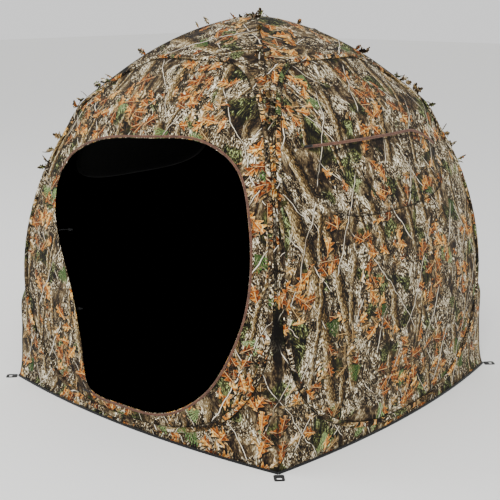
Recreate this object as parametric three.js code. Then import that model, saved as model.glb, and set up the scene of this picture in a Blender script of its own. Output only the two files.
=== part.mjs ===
// A pop up hunting ground blind: four fabric walls, each stretched by its own spring steel hoop,
// under a pitched roof of four gores. The front wall has a wide D-shaped door, shown open with
// its flap rolled up inside, and the other three walls have a zipped window that drops outwards.
// Millimetres, +Z up, door towards -Y. The origin is on the ground under the roof's peak.

import * as THREE from "three";

// ---- Driving dimensions -------------------------------------------------------------------

const PEAK = 1600;             // height of the roof's peak
const CORNER_RADIUS = 1052;    // centre to corner line, low on the wall
const CORNER_FLARE = 25;       // extra reach where the corners are staked out
const FLARE_HEIGHT = 60;       // how quickly that flare dies away
const SHOULDER = 25;           // fullness where the wall hoops turn in under the roof
const WALL_BOW = 68;           // how far the middle of a wall stands out at the ground

const CLOTH = 3;               // thickness given to fabric, more than the real cloth has
const SEAM_GAP = 11;           // from a hoop's line to the cloth on either side of its sleeve
const SLEEVE_HALF = 10;
const SLEEVE_WALL = 2;
const SPRING_WIDTH = 13;
const SPRING_THICK = 1.5;

const HOOP_BOTTOM = 32;
const HOOP_TOP = 1440;
const HOOP_REACH = 0.968;      // share of the wall's half width that the hoop takes up
const HOOP_LOWER_POWER = 2.7;  // how square the hoop's lower half is: 2 is an ellipse
const HOOP_UPPER_POWER = 6;

const HEM_HEIGHT = 18.5;
const HEM_THICK = 6;
const GUSSET_BOTTOM = 20.5;
const SEAM_SPLIT = 2;           // between two pieces of cloth that are sewn end to end
const ROOF_TIP = 1597;
const CROWN_RADIUS = 70;

const WINDOW_HALF_WIDTH = 420;
const WINDOW_HALF_HEIGHT = 135;
const WINDOW_CENTRE = 995;
const WINDOW_POWER = 3.2;
const FLAP_GAP = 1.5;
const NET_DEPTH = 7;           // the shoot-through net lies this far inside the wall
const ZIP_TAPE_HALF = 430;
const ZIP_BEND = 220;            // past here the zip curves down round the flap's far end
const ZIP_FALL = 75;
const ZIP_TAPE_WIDTH = 12;
const SLIDER_PARK = 400;       // where the window slider rests, at the zip's near end

const LAYER = 3.2;             // middle of a tape that is sewn on the outside of the cloth
const BINDING_WIDTH = 9;
const SLIDER_FOOT = 5.2;       // the slider's underside, measured out from the skin
const SLIDER_THICK = 4;
const PULL_FOOT = SLIDER_FOOT + SLIDER_THICK + 0.8;
const DOOR_SLIDER_X = -196;    // where the door's slider rests, at the foot of the fold

// Door opening, as x and z on the front wall, from its lower left corner round to the right.
const DOOR_OUTLINE = [
  [-215, 107], [0, 85], [236, 111], [433, 243], [563, 470], [598, 660], [565, 866], [464, 1054],
  [276, 1146], [0, 1142], [-300, 1104], [-455, 1026], [-505, 925], [-480, 787], [-320, 500],
  [-257, 300],
];
const DOOR_CENTRE = [50, 620];
const BINDING_SHARE = 0.735;   // the zip's share of the outline; the rest is the flap's fold

const ROLL_RADIUS = 27;
const ROLL_DEPTH = 45;         // the rolled flap's middle lies this far inside the wall
const ROLL_BOTTOM = [-318, 190];
const ROLL_TOP = [-560, 900];
const TIE_CORD = 1.5;

const LOOP_WIDTH = 40;         // stake loops: flat webbing with a slot for the stake
const LOOP_LENGTH = 50;
const LOOP_THICK = 3;
const LOOP_START = 6;

const RADIAL_RINGS = 4;
const LOOP_STEPS = 40;         // straight lengths that make up a hoop
const GUSSET_STEPS = 8;        // of those, how many a corner gusset takes from the bottom up
const TAPE_STEPS = 7;          // how many the leaf tape above it takes; the roof has the rest

// ---- Materials ----------------------------------------------------------------------------

const finish = (color, roughness, metalness = 0) =>
  new THREE.MeshStandardMaterial({ color, roughness, metalness });

const camoCloth = () => finish(0x6f6350, 0.85);
const brownTape = () => finish(0x5a3d2c, 0.8);
const blackWebbing = () => finish(0x1a1a1c, 0.75);
const blackLining = () => finish(0x0c0c0d, 0.9);
const springSteel = () => finish(0x54575b, 0.4, 1);
const zincZip = () => finish(0x3a3632, 0.4, 0.8);
const netCloth = () => finish(0x22241f, 0.9);
const leafCloth = () => finish(0x6b5a3c, 0.8);

// ---- The skin's shape ---------------------------------------------------------------------

// Distance from the middle to the corner line at height z: a flattened dome, a little fuller at
// the shoulder and flared at the ground.
function cornerRadius(z) {
  const t = Math.min(z / PEAK, 1);
  const dome = CORNER_RADIUS * Math.pow(1 - Math.pow(t, 3.15), 0.64);
  const shoulder = SHOULDER * Math.exp(-(((t - 0.77) / 0.05) ** 2));
  return dome + shoulder + CORNER_FLARE * Math.exp(-z / FLARE_HEIGHT);
}

const halfWidth = (z) => cornerRadius(z) / Math.SQRT2;

// How far the middle of a wall bows out past its two corner lines.
function bow(z) {
  const t = z / PEAK;
  return WALL_BOW * (1 + 0.88 * t - 1.1 * t * t) * (1 - Math.exp(-halfWidth(z) / 80));
}

// A point of the front wall's skin, from its distance x along the wall and its height.
function wallPoint(x, z) {
  const w = halfWidth(z);
  const s = x / w;
  return new THREE.Vector3(x, -(w + bow(z) * (1 - s * s)), z);
}

// The front wall's outward normal, from small steps along the skin.
function wallNormal(x, z) {
  const step = 0.5;
  const across = wallPoint(x + step, z).sub(wallPoint(x - step, z));
  const up = wallPoint(x, z + step).sub(wallPoint(x, z - step));
  return across.cross(up).normalize();
}

// ---- Outlines drawn on a wall -------------------------------------------------------------

// Closed outline through (x, z) samples, read by share of its length. edge() steps sideways
// along the skin by a distance: positive is away from the outline's middle.
class Outline {
  constructor(samples, centre) {
    this.centre = centre;
    this.samples = samples;
    this.lengths = [0];
    for (let i = 1; i <= samples.length; i += 1) {
      const a = wallPoint(...samples[i - 1]);
      const b = wallPoint(...samples[i % samples.length]);
      this.lengths.push(this.lengths[i - 1] + a.distanceTo(b));
    }
  }

  at(share) {
    const total = this.lengths[this.samples.length];
    const goal = (((share % 1) + 1) % 1) * total;
    let i = 1;
    while (this.lengths[i] < goal) i += 1;
    const f = (goal - this.lengths[i - 1]) / (this.lengths[i] - this.lengths[i - 1]);
    const a = this.samples[i - 1];
    const b = this.samples[i % this.samples.length];
    return [a[0] + f * (b[0] - a[0]), a[1] + f * (b[1] - a[1])];
  }

  // Local frame: point, outward normal, and the sideways direction away from the middle.
  frame(share) {
    const here = this.at(share);
    const ahead = wallPoint(...this.at(share + 0.003));
    const behind = wallPoint(...this.at(share - 0.003));
    const point = wallPoint(...here);
    const normal = wallNormal(...here);
    const side = normal.clone().cross(ahead.sub(behind)).normalize();
    const away = new THREE.Vector3(here[0] - this.centre[0], 0, here[1] - this.centre[1]);
    if (side.dot(away) < 0) side.negate();
    return { point, normal, side };
  }

  edge(share, distance) {
    const { point, side } = this.frame(share);
    const moved = point.addScaledVector(side, distance);
    return [moved.x, moved.z];
  }

  // edge() on the straight length between two stations, so that neighbours keep an even gap.
  chordEdge(share, distance, stations) {
    const i = Math.floor(share * stations);
    const f = share * stations - i;
    const a = this.edge(i / stations, distance);
    const b = this.edge((i + 1) / stations, distance);
    return [a[0] + f * (b[0] - a[0]), a[1] + f * (b[1] - a[1])];
  }

  // Where the ray from the middle through (x, z) meets this outline.
  towards(x, z) {
    const [cx, cz] = this.centre;
    const goal = Math.atan2(z - cz, x - cx);
    for (let i = 0; i < this.samples.length; i += 1) {
      const a = this.samples[i];
      const b = this.samples[(i + 1) % this.samples.length];
      const angleA = Math.atan2(a[1] - cz, a[0] - cx);
      const sweep = wrapAngle(Math.atan2(b[1] - cz, b[0] - cx) - angleA);
      const part = wrapAngle(goal - angleA);
      if (part >= 0 && part <= sweep) {
        const f = sweep > 0 ? part / sweep : 0;
        return [a[0] + f * (b[0] - a[0]), a[1] + f * (b[1] - a[1])];
      }
    }
    throw new Error("The outline doesn't surround its middle.");
  }
}

function wrapAngle(angle) {
  return Math.atan2(Math.sin(angle), Math.cos(angle));
}

// Superellipse of share 0 to 1 from its lowest point, towards +x first.
function superellipse(share, lowerPower, upperPower) {
  const angle = 2 * Math.PI * share - Math.PI / 2;
  const c = Math.cos(angle);
  const s = Math.sin(angle);
  const power = 2 / (s < 0 ? lowerPower : upperPower);
  return [Math.sign(c) * Math.abs(c) ** power, Math.sign(s) * Math.abs(s) ** power];
}

const HOOP_MIDDLE = (HOOP_BOTTOM + HOOP_TOP) / 2;
const HOOP_HALF = (HOOP_TOP - HOOP_BOTTOM) / 2;

// The hoop runs close to the corner lines, so its width is a share of the wall's.
function hoopOutline() {
  const count = 720;
  const samples = [];
  for (let i = 0; i < count; i += 1) {
    const [across, up] = superellipse(i / count, HOOP_LOWER_POWER, HOOP_UPPER_POWER);
    const z = HOOP_MIDDLE + HOOP_HALF * up;
    samples.push([HOOP_REACH * across * halfWidth(z), z]);
  }
  return new Outline(samples, [0, HOOP_MIDDLE]);
}

function windowOutline() {
  const count = 360;
  const samples = [];
  for (let i = 0; i < count; i += 1) {
    const [across, up] = superellipse(i / count, WINDOW_POWER, WINDOW_POWER);
    samples.push([WINDOW_HALF_WIDTH * across, WINDOW_CENTRE + WINDOW_HALF_HEIGHT * up]);
  }
  return new Outline(samples, [0, WINDOW_CENTRE]);
}

function doorOutline() {
  const points = DOOR_OUTLINE.map(([x, z]) => new THREE.Vector3(x, z, 0));
  const curve = new THREE.CatmullRomCurve3(points, true, "centripetal");
  const count = 320;
  const samples = [];
  for (let i = 0; i < count; i += 1) {
    const p = curve.getPoint(i / count);
    samples.push([p.x, p.y]);
  }
  return new Outline(samples, DOOR_CENTRE);
}

const HOOP = hoopOutline();
const WINDOW = windowOutline();
const DOOR = doorOutline();

// ---- Closed solids from points ------------------------------------------------------------

function meshFrom(name, vertices, triangles, material) {
  const flat = vertices.flatMap((v) => [v.x, v.y, v.z]);
  let volume = 0;
  for (const [a, b, c] of triangles) {
    volume += vertices[a].dot(vertices[b].clone().cross(vertices[c]));
  }
  const ordered = volume < 0 ? triangles.map(([a, b, c]) => [a, c, b]) : triangles;
  const geometry = new THREE.BufferGeometry();
  geometry.setAttribute("position", new THREE.Float32BufferAttribute(flat, 3));
  geometry.setIndex(ordered.flat());
  geometry.computeVertexNormals();
  const mesh = new THREE.Mesh(geometry, material);
  mesh.name = name;
  return mesh;
}

// A sheet of cloth with a thickness. rows is a list of rows of { point, normal }; a round sheet's
// rows close on themselves, and a disc's first row is its single middle point.
function sheet(name, rows, thick, material, { round = false, disc = false } = {}) {
  const vertices = [];
  const index = rows.map((row) => row.map(({ point, normal }) => {
    vertices.push(point.clone().addScaledVector(normal, thick / 2));
    vertices.push(point.clone().addScaledVector(normal, -thick / 2));
    return vertices.length - 2;
  }));
  const triangles = [];
  const quad = (a, b, c, d) => triangles.push([a, b, c], [a, c, d]);
  const skinQuad = (a, b, c, d) => {
    quad(a, b, c, d);
    quad(d + 1, c + 1, b + 1, a + 1);
  };
  const rim = (a, b) => quad(b, b + 1, a + 1, a);
  for (let r = disc ? 1 : 0; r < rows.length - 1; r += 1) {
    const low = index[r];
    const high = index[r + 1];
    const count = round || disc ? low.length : low.length - 1;
    for (let c = 0; c < count; c += 1) {
      const next = (c + 1) % low.length;
      skinQuad(low[c], low[next], high[next], high[c]);
    }
  }
  const last = index[index.length - 1];
  const count = round || disc ? last.length : last.length - 1;
  for (let c = 0; c < count; c += 1) {
    const next = (c + 1) % last.length;
    rim(last[c], last[next]);
    if (disc) {
      const [middle] = index[0];
      const ring = index[1];
      triangles.push([middle, ring[next], ring[c]]);
      triangles.push([middle + 1, ring[c] + 1, ring[next] + 1]);
    } else {
      rim(index[0][next], index[0][c]);
    }
  }
  if (!round && !disc) {
    for (let r = 0; r < index.length - 1; r += 1) {
      rim(index[r][0], index[r + 1][0]);
      rim(index[r + 1][last.length - 1], index[r][last.length - 1]);
    }
  }
  return meshFrom(name, vertices, triangles, material);
}

// A section, as [sideways, outwards] points, carried round a closed outline.
function ringSweep(name, outline, section, steps, material) {
  const vertices = [];
  const triangles = [];
  const n = section.length;
  for (let i = 0; i < steps; i += 1) {
    const { point, normal, side } = outline.frame(i / steps);
    for (const [across, out] of section) {
      vertices.push(point.clone().addScaledVector(side, across).addScaledVector(normal, out));
    }
    const next = ((i + 1) % steps) * n;
    for (let j = 0; j < n; j += 1) {
      const k = (j + 1) % n;
      triangles.push([i * n + j, next + j, next + k], [i * n + j, next + k, i * n + k]);
    }
  }
  return meshFrom(name, vertices, triangles, material);
}

function skinNode(x, z, out = 0) {
  const normal = wallNormal(x, z);
  return { point: wallPoint(x, z).addScaledVector(normal, out), normal };
}

// ---- Walls, windows and door --------------------------------------------------------------

// Wall cloth between an opening and the hoop's sleeve.
function wallPanel(name, opening) {
  const rows = [];
  const outer = [];
  for (let i = 0; i < LOOP_STEPS; i += 1) outer.push(HOOP.edge(i / LOOP_STEPS, -SEAM_GAP));
  const inner = outer.map(([x, z]) => opening.towards(x, z));
  for (let ring = 0; ring <= RADIAL_RINGS; ring += 1) {
    const f = ring / RADIAL_RINGS;
    rows.push(outer.map(([x, z], i) => {
      const [a, b] = inner[i];
      return skinNode(a + f * (x - a), b + f * (z - b));
    }));
  }
  return sheet(name, rows, CLOTH, camoCloth(), { round: true });
}

// A disc of cloth on the same rays as the wall's window edge, grown or shrunk by a margin.
function windowDisc(name, margin, out, thick, rings, material) {
  const [cx, cz] = WINDOW.centre;
  const edge = [];
  for (let i = 0; i < LOOP_STEPS; i += 1) {
    const [x, z] = WINDOW.towards(...HOOP.edge(i / LOOP_STEPS, -SEAM_GAP));
    const growX = 1 + margin / WINDOW_HALF_WIDTH;
    const growZ = 1 + margin / WINDOW_HALF_HEIGHT;
    edge.push([cx + (x - cx) * growX, cz + (z - cz) * growZ]);
  }
  const rows = [[skinNode(cx, cz, out)]];
  for (let ring = 1; ring <= rings; ring += 1) {
    const f = ring / rings;
    rows.push(edge.map(([x, z]) => skinNode(cx + f * (x - cx), cz + f * (z - cz), out)));
  }
  return sheet(name, rows, thick, material, { disc: true });
}

// Brown zip tape over the flap: level along its top, then curving down round its far end.
function windowZipTape(name, z) {
  const steps = 22;
  const rows = [];
  for (let i = 0; i <= steps; i += 1) {
    const x = ZIP_TAPE_HALF * ((2 * i) / steps - 1);
    const past = Math.max(0, x - ZIP_BEND) / (ZIP_TAPE_HALF - ZIP_BEND);
    const slope = (-2 * ZIP_FALL * past) / (ZIP_TAPE_HALF - ZIP_BEND);
    const run = Math.hypot(1, slope) * 2;
    const middle = z - ZIP_FALL * past * past;
    rows.push([-ZIP_TAPE_WIDTH, ZIP_TAPE_WIDTH].map((w) => (
      skinNode(x - (w * slope) / run, middle + w / run, LAYER))));
  }
  return sheet(name, rows, 2, brownTape());
}

// Zip slider body: a bevelled lozenge that stands on the tape.
function zipSlider(name, x, z) {
  const shape = new THREE.Shape();
  shape.moveTo(-9, -3);
  shape.lineTo(-5, -6);
  shape.lineTo(5, -6);
  shape.lineTo(9, -3);
  shape.lineTo(9, 3);
  shape.lineTo(5, 6);
  shape.lineTo(-5, 6);
  shape.lineTo(-9, 3);
  shape.closePath();
  const geometry = new THREE.ExtrudeGeometry(shape, { depth: SLIDER_THICK, bevelEnabled: false });
  return placeOnWall(new THREE.Mesh(geometry, zincZip()), name, x, z, SLIDER_FOOT);
}

// Pull tab: a tapered tag that lies along the tape, on top of the slider and past its end.
function zipPull(name, x, z) {
  const shape = new THREE.Shape();
  shape.moveTo(1, 2.5);
  shape.lineTo(-34, 4.5);
  shape.absarc(-36, 0, 4.5, Math.PI / 2, (3 * Math.PI) / 2, false);
  shape.lineTo(1, -2.5);
  shape.closePath();
  const geometry = new THREE.ExtrudeGeometry(shape, {
    depth: 2, bevelEnabled: false, curveSegments: 6,
  });
  return placeOnWall(new THREE.Mesh(geometry, blackWebbing()), name, x, z, PULL_FOOT);
}

// Stands a flat shape on the wall: its X along the wall, its Y up the slope, its Z outwards.
function placeOnWall(mesh, name, x, z, out) {
  const normal = wallNormal(x, z);
  const across = wallPoint(x + 1, z).sub(wallPoint(x - 1, z)).normalize();
  const up = normal.clone().cross(across);
  mesh.setRotationFromMatrix(new THREE.Matrix4().makeBasis(across, up, normal));
  mesh.position.copy(wallPoint(x, z).addScaledVector(normal, out));
  mesh.name = name;
  return mesh;
}

function windowParts(side) {
  const tapeHeight = WINDOW_CENTRE + WINDOW_HALF_HEIGHT + 4 + ZIP_TAPE_WIDTH / 2;
  return [
    windowDisc(`${side}_window_flap`, -FLAP_GAP, 0, CLOTH, 3, camoCloth()),
    windowDisc(`${side}_window_net`, 12, -NET_DEPTH, 2, 3, netCloth()),
    windowZipTape(`${side}_window_zip_tape`, tapeHeight),
    zipSlider(`${side}_window_zip_slider`, -SLIDER_PARK, tapeHeight),
    zipPull(`${side}_window_zip_pull`, -SLIDER_PARK, tapeHeight),
  ];
}

// Brown zip tape round the door, from the foot of the flap's fold round to its head.
function doorBinding() {
  const steps = 44;
  const rows = [];
  for (let i = 0; i <= steps; i += 1) {
    const share = 0.005 + (BINDING_SHARE * i) / steps;
    rows.push([2, 2 + BINDING_WIDTH].map((across) => skinNode(...DOOR.edge(share, across), LAYER)));
  }
  return sheet("door_zip_tape", rows, 2, brownTape());
}

function rollPath() {
  const place = ([x, z]) => wallPoint(x, z).addScaledVector(wallNormal(x, z), -ROLL_DEPTH);
  const bottom = place(ROLL_BOTTOM);
  const top = place(ROLL_TOP);
  const middleX = (ROLL_BOTTOM[0] + ROLL_TOP[0]) / 2;
  const middleZ = (ROLL_BOTTOM[1] + ROLL_TOP[1]) / 2;
  const middle = place([middleX, middleZ]);
  return new THREE.QuadraticBezierCurve3(bottom, middle, top);
}

function doorRoll() {
  const shape = new THREE.Shape();
  shape.absarc(0, 0, ROLL_RADIUS, 0, 2 * Math.PI, false);
  const geometry = new THREE.ExtrudeGeometry(shape, {
    steps: 8, curveSegments: 12, bevelEnabled: false, extrudePath: rollPath(),
  });
  const mesh = new THREE.Mesh(geometry, blackLining());
  mesh.name = "door_flap_roll";
  return mesh;
}

// A cord loop round the rolled flap, and the toggle that closes it.
function doorTie(name, share) {
  const path = rollPath();
  const centre = path.getPoint(share);
  const along = path.getTangent(share);
  const turn = new THREE.Quaternion().setFromUnitVectors(new THREE.Vector3(0, 0, 1), along);
  const radius = ROLL_RADIUS + TIE_CORD + 1;
  const loop = new THREE.Mesh(new THREE.TorusGeometry(radius, TIE_CORD, 5, 18), blackWebbing());
  loop.name = `${name}_tie_loop`;
  loop.position.copy(centre);
  loop.quaternion.copy(turn);
  const toggle = new THREE.Mesh(new THREE.CylinderGeometry(4, 4, 34, 8), blackWebbing());
  toggle.name = `${name}_tie_toggle`;
  toggle.position.set(centre.x, centre.y + radius + TIE_CORD + 5, centre.z);
  toggle.rotation.z = Math.PI / 2;
  return [loop, toggle];
}

// ---- Frame, roof, corners and ground line -------------------------------------------------

// The sleeve is a channel sewn over the hoop, open to the inside; the band of steel lies in it.
function sleeve(name) {
  const low = -4;
  const high = 5.5;
  const inner = SLEEVE_HALF - SLEEVE_WALL;
  const section = [
    [-SLEEVE_HALF, low], [-inner, low], [-inner, high - SLEEVE_WALL], [inner, high - SLEEVE_WALL],
    [inner, low], [SLEEVE_HALF, low], [SLEEVE_HALF, high], [-SLEEVE_HALF, high],
  ];
  return ringSweep(name, HOOP, section, LOOP_STEPS, camoCloth());
}

function springHoop(name) {
  const half = SPRING_WIDTH / 2;
  const section = [[-half, 0], [half, 0], [half, SPRING_THICK], [-half, SPRING_THICK]];
  return ringSweep(name, HOOP, section, LOOP_STEPS, springSteel());
}

// Places along the hoop's +x side, by share of its length: from one share, through each station
// between, to another.
function stationsBetween(from, to) {
  const shares = [from];
  for (let i = Math.floor(from * LOOP_STEPS) + 1; i < to * LOOP_STEPS - 1e-9; i += 1) {
    shares.push(i / LOOP_STEPS);
  }
  return [...shares, to];
}

const seamEdge = (share) => HOOP.chordEdge(share, SEAM_GAP, LOOP_STEPS);

const GUSSET_END = GUSSET_STEPS / LOOP_STEPS;
const TAPE_END = (GUSSET_STEPS + TAPE_STEPS) / LOOP_STEPS;
const SPLIT_SHARE = SEAM_SPLIT / HOOP.lengths[HOOP.samples.length];

const cornerNormal = new THREE.Vector3(1, -1, 0);

// One row across a corner: from the sleeve of one wall, over the corner line, to the next wall's.
function cornerRow(x, z, cells) {
  const w = halfWidth(z);
  const near = [];
  for (let i = 0; i < cells; i += 1) near.push(skinNode(x + ((w - x) * i) / cells, z));
  const swap = ({ point, normal }) => ({
    point: new THREE.Vector3(-point.y, -point.x, point.z),
    normal: new THREE.Vector3(-normal.y, -normal.x, normal.z),
  });
  const ridge = { point: new THREE.Vector3(w, -w, z), normal: cornerNormal };
  return [...near, ridge, ...near.map(swap).reverse()];
}

// Triangle of cloth that closes the corner below the place where two hoops part.
function cornerGusset(name) {
  let start = 0;
  while (seamEdge(start)[1] < GUSSET_BOTTOM) start += 0.0005;
  const rows = stationsBetween(start, GUSSET_END).map((share) => cornerRow(...seamEdge(share), 3));
  return sheet(name, rows, CLOTH, camoCloth());
}

// Narrow tape over the corner seam, which carries the cut-out leaves.
function cornerTape(name) {
  const shares = stationsBetween(GUSSET_END + SPLIT_SHARE, TAPE_END);
  const rows = shares.map((share) => cornerRow(...seamEdge(share), 1));
  return sheet(name, rows, 2, leafCloth());
}

// One face of the roof, from the top of a wall's hoop to the peak, in columns that run straight
// up from the hoop. The outermost column follows the corner line.
function roofGore(name) {
  const cornerShare = 0.994;
  const foot = stationsBetween(TAPE_END + SPLIT_SHARE, 0.5).map(seamEdge);
  const right = foot.map(([x, z]) => [x / halfWidth(z), z]);
  right.unshift([cornerShare, foot[0][1]]);
  const left = right.slice(0, -1).map(([s, z]) => [-s, z]);
  const columns = [...left, ...right.reverse()];
  const rowCount = 5;
  const rows = [];
  for (let i = 0; i <= rowCount; i += 1) {
    const f = 1 - (1 - i / rowCount) ** 1.6;
    rows.push(columns.map(([s, low]) => {
      const z = low + (ROOF_TIP - low) * f;
      return skinNode(s * halfWidth(z), z);
    }));
  }
  return sheet(name, rows, CLOTH, camoCloth());
}

// Round patch over the point where the four gores meet.
function crownPatch() {
  const around = 16;
  const ringAt = (radius, z) => {
    const row = [];
    for (let i = 0; i < around; i += 1) {
      const a = (2 * Math.PI * i) / around;
      const point = new THREE.Vector3(radius * Math.cos(a), radius * Math.sin(a), z);
      row.push({ point, normal: new THREE.Vector3(0, 0, 1) });
    }
    return row;
  };
  const top = PEAK + 3;
  const middle = { point: new THREE.Vector3(0, 0, top), normal: new THREE.Vector3(0, 0, 1) };
  const rows = [[middle], ringAt(CROWN_RADIUS / 2, top - 0.5), ringAt(CROWN_RADIUS, top - 2.5)];
  return sheet("crown_patch", rows, 2, leafCloth(), { disc: true });
}

// Black hem that lies on the ground along one wall, with level edges.
function groundHem(name) {
  const reach = 0.985;
  const steps = 12;
  const rows = [];
  for (let i = 0; i <= steps; i += 1) {
    const s = -reach + (2 * reach * i) / steps;
    const x = s * halfWidth(0);
    const normal = wallNormal(x, 1).setZ(0).normalize();
    const foot = wallPoint(x, 0);
    rows.push([foot, foot.clone().setZ(HEM_HEIGHT)].map((point) => ({ point, normal })));
  }
  return sheet(name, rows, HEM_THICK, blackWebbing());
}

function stakeLoop(name) {
  const half = LOOP_WIDTH / 2;
  const shape = new THREE.Shape();
  shape.moveTo(0, -half);
  shape.lineTo(LOOP_LENGTH - 12, -half);
  shape.lineTo(LOOP_LENGTH, -half + 12);
  shape.lineTo(LOOP_LENGTH, half - 12);
  shape.lineTo(LOOP_LENGTH - 12, half);
  shape.lineTo(0, half);
  shape.closePath();
  const slot = new THREE.Path();
  slot.moveTo(24, -9);
  slot.lineTo(24, 9);
  slot.lineTo(38, 9);
  slot.lineTo(38, -9);
  slot.closePath();
  shape.holes.push(slot);
  const geometry = new THREE.ExtrudeGeometry(shape, { depth: LOOP_THICK, bevelEnabled: false });
  const mesh = new THREE.Mesh(geometry, blackWebbing());
  mesh.name = name;
  const reach = (cornerRadius(0) + LOOP_START) / Math.SQRT2;
  mesh.position.set(reach, -reach, 0);
  mesh.rotation.z = -Math.PI / 4;
  return mesh;
}

// ---- The blind ----------------------------------------------------------------------------

const blind = new THREE.Group();
blind.name = "pop_up_ground_blind";

// Each side is built facing the front and turned into place. A side carries its own corner on
// its right-hand end.
["front", "right", "rear", "left"].forEach((side, turn) => {
  const group = new THREE.Group();
  group.rotation.z = (turn * Math.PI) / 2;
  const isFront = side === "front";
  group.add(
    wallPanel(`${side}_wall`, isFront ? DOOR : WINDOW),
    sleeve(`${side}_hoop_sleeve`),
    springHoop(`${side}_spring_hoop`),
    roofGore(`${side}_roof_gore`),
    groundHem(`${side}_ground_hem`),
    cornerGusset(`${side}_corner_gusset`),
    cornerTape(`${side}_corner_leaf_tape`),
    stakeLoop(`${side}_stake_loop`),
  );
  if (!isFront) group.add(...windowParts(side));
  blind.add(group);
});

const doorSliderZ = DOOR.at(0.006)[1] - 2 - BINDING_WIDTH / 2;
blind.add(
  doorBinding(),
  zipSlider("door_zip_slider", DOOR_SLIDER_X, doorSliderZ),
  zipPull("door_zip_pull", DOOR_SLIDER_X, doorSliderZ),
  doorRoll(),
  ...doorTie("lower", 0.28),
  ...doorTie("upper", 0.74),
  crownPatch(),
);

export default blind;
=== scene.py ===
"""Looks of a pop up ground blind: printed camouflage cloth over four spring steel hoops.

Each piece is a surface worked out on one skin: a square plan whose corner lines follow a dome,
with every wall bowed outwards between them. Metres, +Z up.
"""

import math

import bmesh
import bpy
import numpy as np
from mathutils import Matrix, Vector


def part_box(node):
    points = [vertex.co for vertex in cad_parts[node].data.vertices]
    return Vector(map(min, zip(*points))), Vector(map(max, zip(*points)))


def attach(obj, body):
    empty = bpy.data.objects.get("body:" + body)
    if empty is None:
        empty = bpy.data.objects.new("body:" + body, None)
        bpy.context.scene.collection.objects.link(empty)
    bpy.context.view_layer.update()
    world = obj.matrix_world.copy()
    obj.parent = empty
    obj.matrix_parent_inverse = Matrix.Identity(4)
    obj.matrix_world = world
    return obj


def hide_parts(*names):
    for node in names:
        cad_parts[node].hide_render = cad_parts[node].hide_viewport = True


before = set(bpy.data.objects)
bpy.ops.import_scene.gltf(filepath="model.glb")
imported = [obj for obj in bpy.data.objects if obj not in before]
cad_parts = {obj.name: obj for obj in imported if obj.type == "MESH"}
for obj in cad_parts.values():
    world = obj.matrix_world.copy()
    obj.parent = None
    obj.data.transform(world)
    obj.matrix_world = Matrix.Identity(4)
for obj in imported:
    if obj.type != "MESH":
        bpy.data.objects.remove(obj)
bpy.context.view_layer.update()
SIDES = ("front", "right", "rear", "left")
WINDOW_SIDES = SIDES[1:]

# ---- Camera and light -----------------------------------------------------------------------


def place_camera():
    """A camera at about eye height, four and a half metres out from the blind's middle, that
    faces the corner between the front and the right wall and looks slightly down."""
    data = bpy.data.cameras.new("camera")
    data.sensor_width = 36.0
    data.lens = 74.2
    camera = bpy.data.objects.new("camera", data)
    camera.location = (2.916, -3.427, 1.69)
    forward = Vector((-0.6323, 0.7361, -0.2414))
    camera.rotation_euler = forward.to_track_quat("-Z", "Y").to_euler()
    bpy.context.collection.objects.link(camera)
    bpy.context.scene.camera = camera


place_camera()

# ---- Sizes ----------------------------------------------------------------------------------

PEAK = 1.600
CORNER_RADIUS = 1.052
CORNER_FLARE = 0.025
FLARE_HEIGHT = 0.060
SHOULDER = 0.025
SHOULDER_SHARE = 0.77           # of the peak's height
WALL_BOW = 0.068

HOOP_BOTTOM = 0.032
HOOP_TOP = 1.440
HOOP_REACH = 0.968              # share of the wall's half width
HOOP_POWERS = (2.7, 6.0)        # how square the lower and the upper half of a hoop are
SLEEVE = (0.0102, -0.0035, 0.0078)   # half width, then inner and outer face off the hoop
SEAM_GAP = 0.0085               # from a hoop's line to the cloth tucked under its sleeve
SEAM_SHADE = 0.004              # width of the shade beside a sleeve
GUSSET_FOOT = 0.004             # height of its lowest edge
GUSSET_END = 8 / 40             # shares of a hoop's length, from its foot up one side
TAPE_END = 15 / 40
CREASE_CELL = 0.0025            # width of the cells beside a corner's crease
CLEFT_REACH = 0.150             # up and down from where the gusset meets the corner strip
CLEFT_HALF = 0.045              # half the width of the cleft's painted shade where it is widest
CLEFT_DEPTH = 0.034
ROOF_TIP = 1.5985
CROWN_RADIUS = 0.068

WINDOW_HALF = (0.420, 0.135)
WINDOW_MIDDLE = (0.0, 0.995)
WINDOW_POWER = 3.2
FLAP_GAP = 0.0015
NET_DEPTH = 0.007
NET_MARGIN = 0.020
ZIP_HALF = 0.430
ZIP_BEND = 0.220                # past here the window's zip curves down round the flap
ZIP_FALL = 0.075
ZIP_HEIGHT = 1.140
ZIP_PARK = -0.400
WINDOW_TAPE_HALF = 0.006
TOOTH_PITCH = 0.003

DOOR_OUTLINE = (
    (-0.215, 0.107), (0.0, 0.085), (0.236, 0.111), (0.433, 0.243), (0.563, 0.470),
    (0.598, 0.660), (0.565, 0.866), (0.464, 1.054), (0.276, 1.146), (0.0, 1.142),
    (-0.300, 1.104), (-0.455, 1.026), (-0.505, 0.925), (-0.480, 0.787), (-0.320, 0.500),
    (-0.257, 0.300),
)
DOOR_MIDDLE = (0.050, 0.620)
BINDING_SHARES = (0.005, 0.740)
BINDING_MIDDLE = 0.0065         # from the door's edge to the middle of its tape
DOOR_TAPE_HALF = 0.0046
DOOR_ZIP_SHARE = 0.006
DOOR_SLIDER_X = -0.196

ROLL_FOOT = (-0.318, 0.190)
ROLL_HEAD = (-0.560, 0.900)
ROLL_DEPTH = 0.045
ROLL_RADIUS = 0.0265
ROLL_TURNS = 9
TIE_RADIUS = 0.0295
TIES = (("lower", 0.28), ("upper", 0.74))

CLOTH = 0.0008                  # coated polyester with its lining
LEAF_CLOTH = 0.0006
NETTING = 0.0006

# ---- The skin -------------------------------------------------------------------------------


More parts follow.
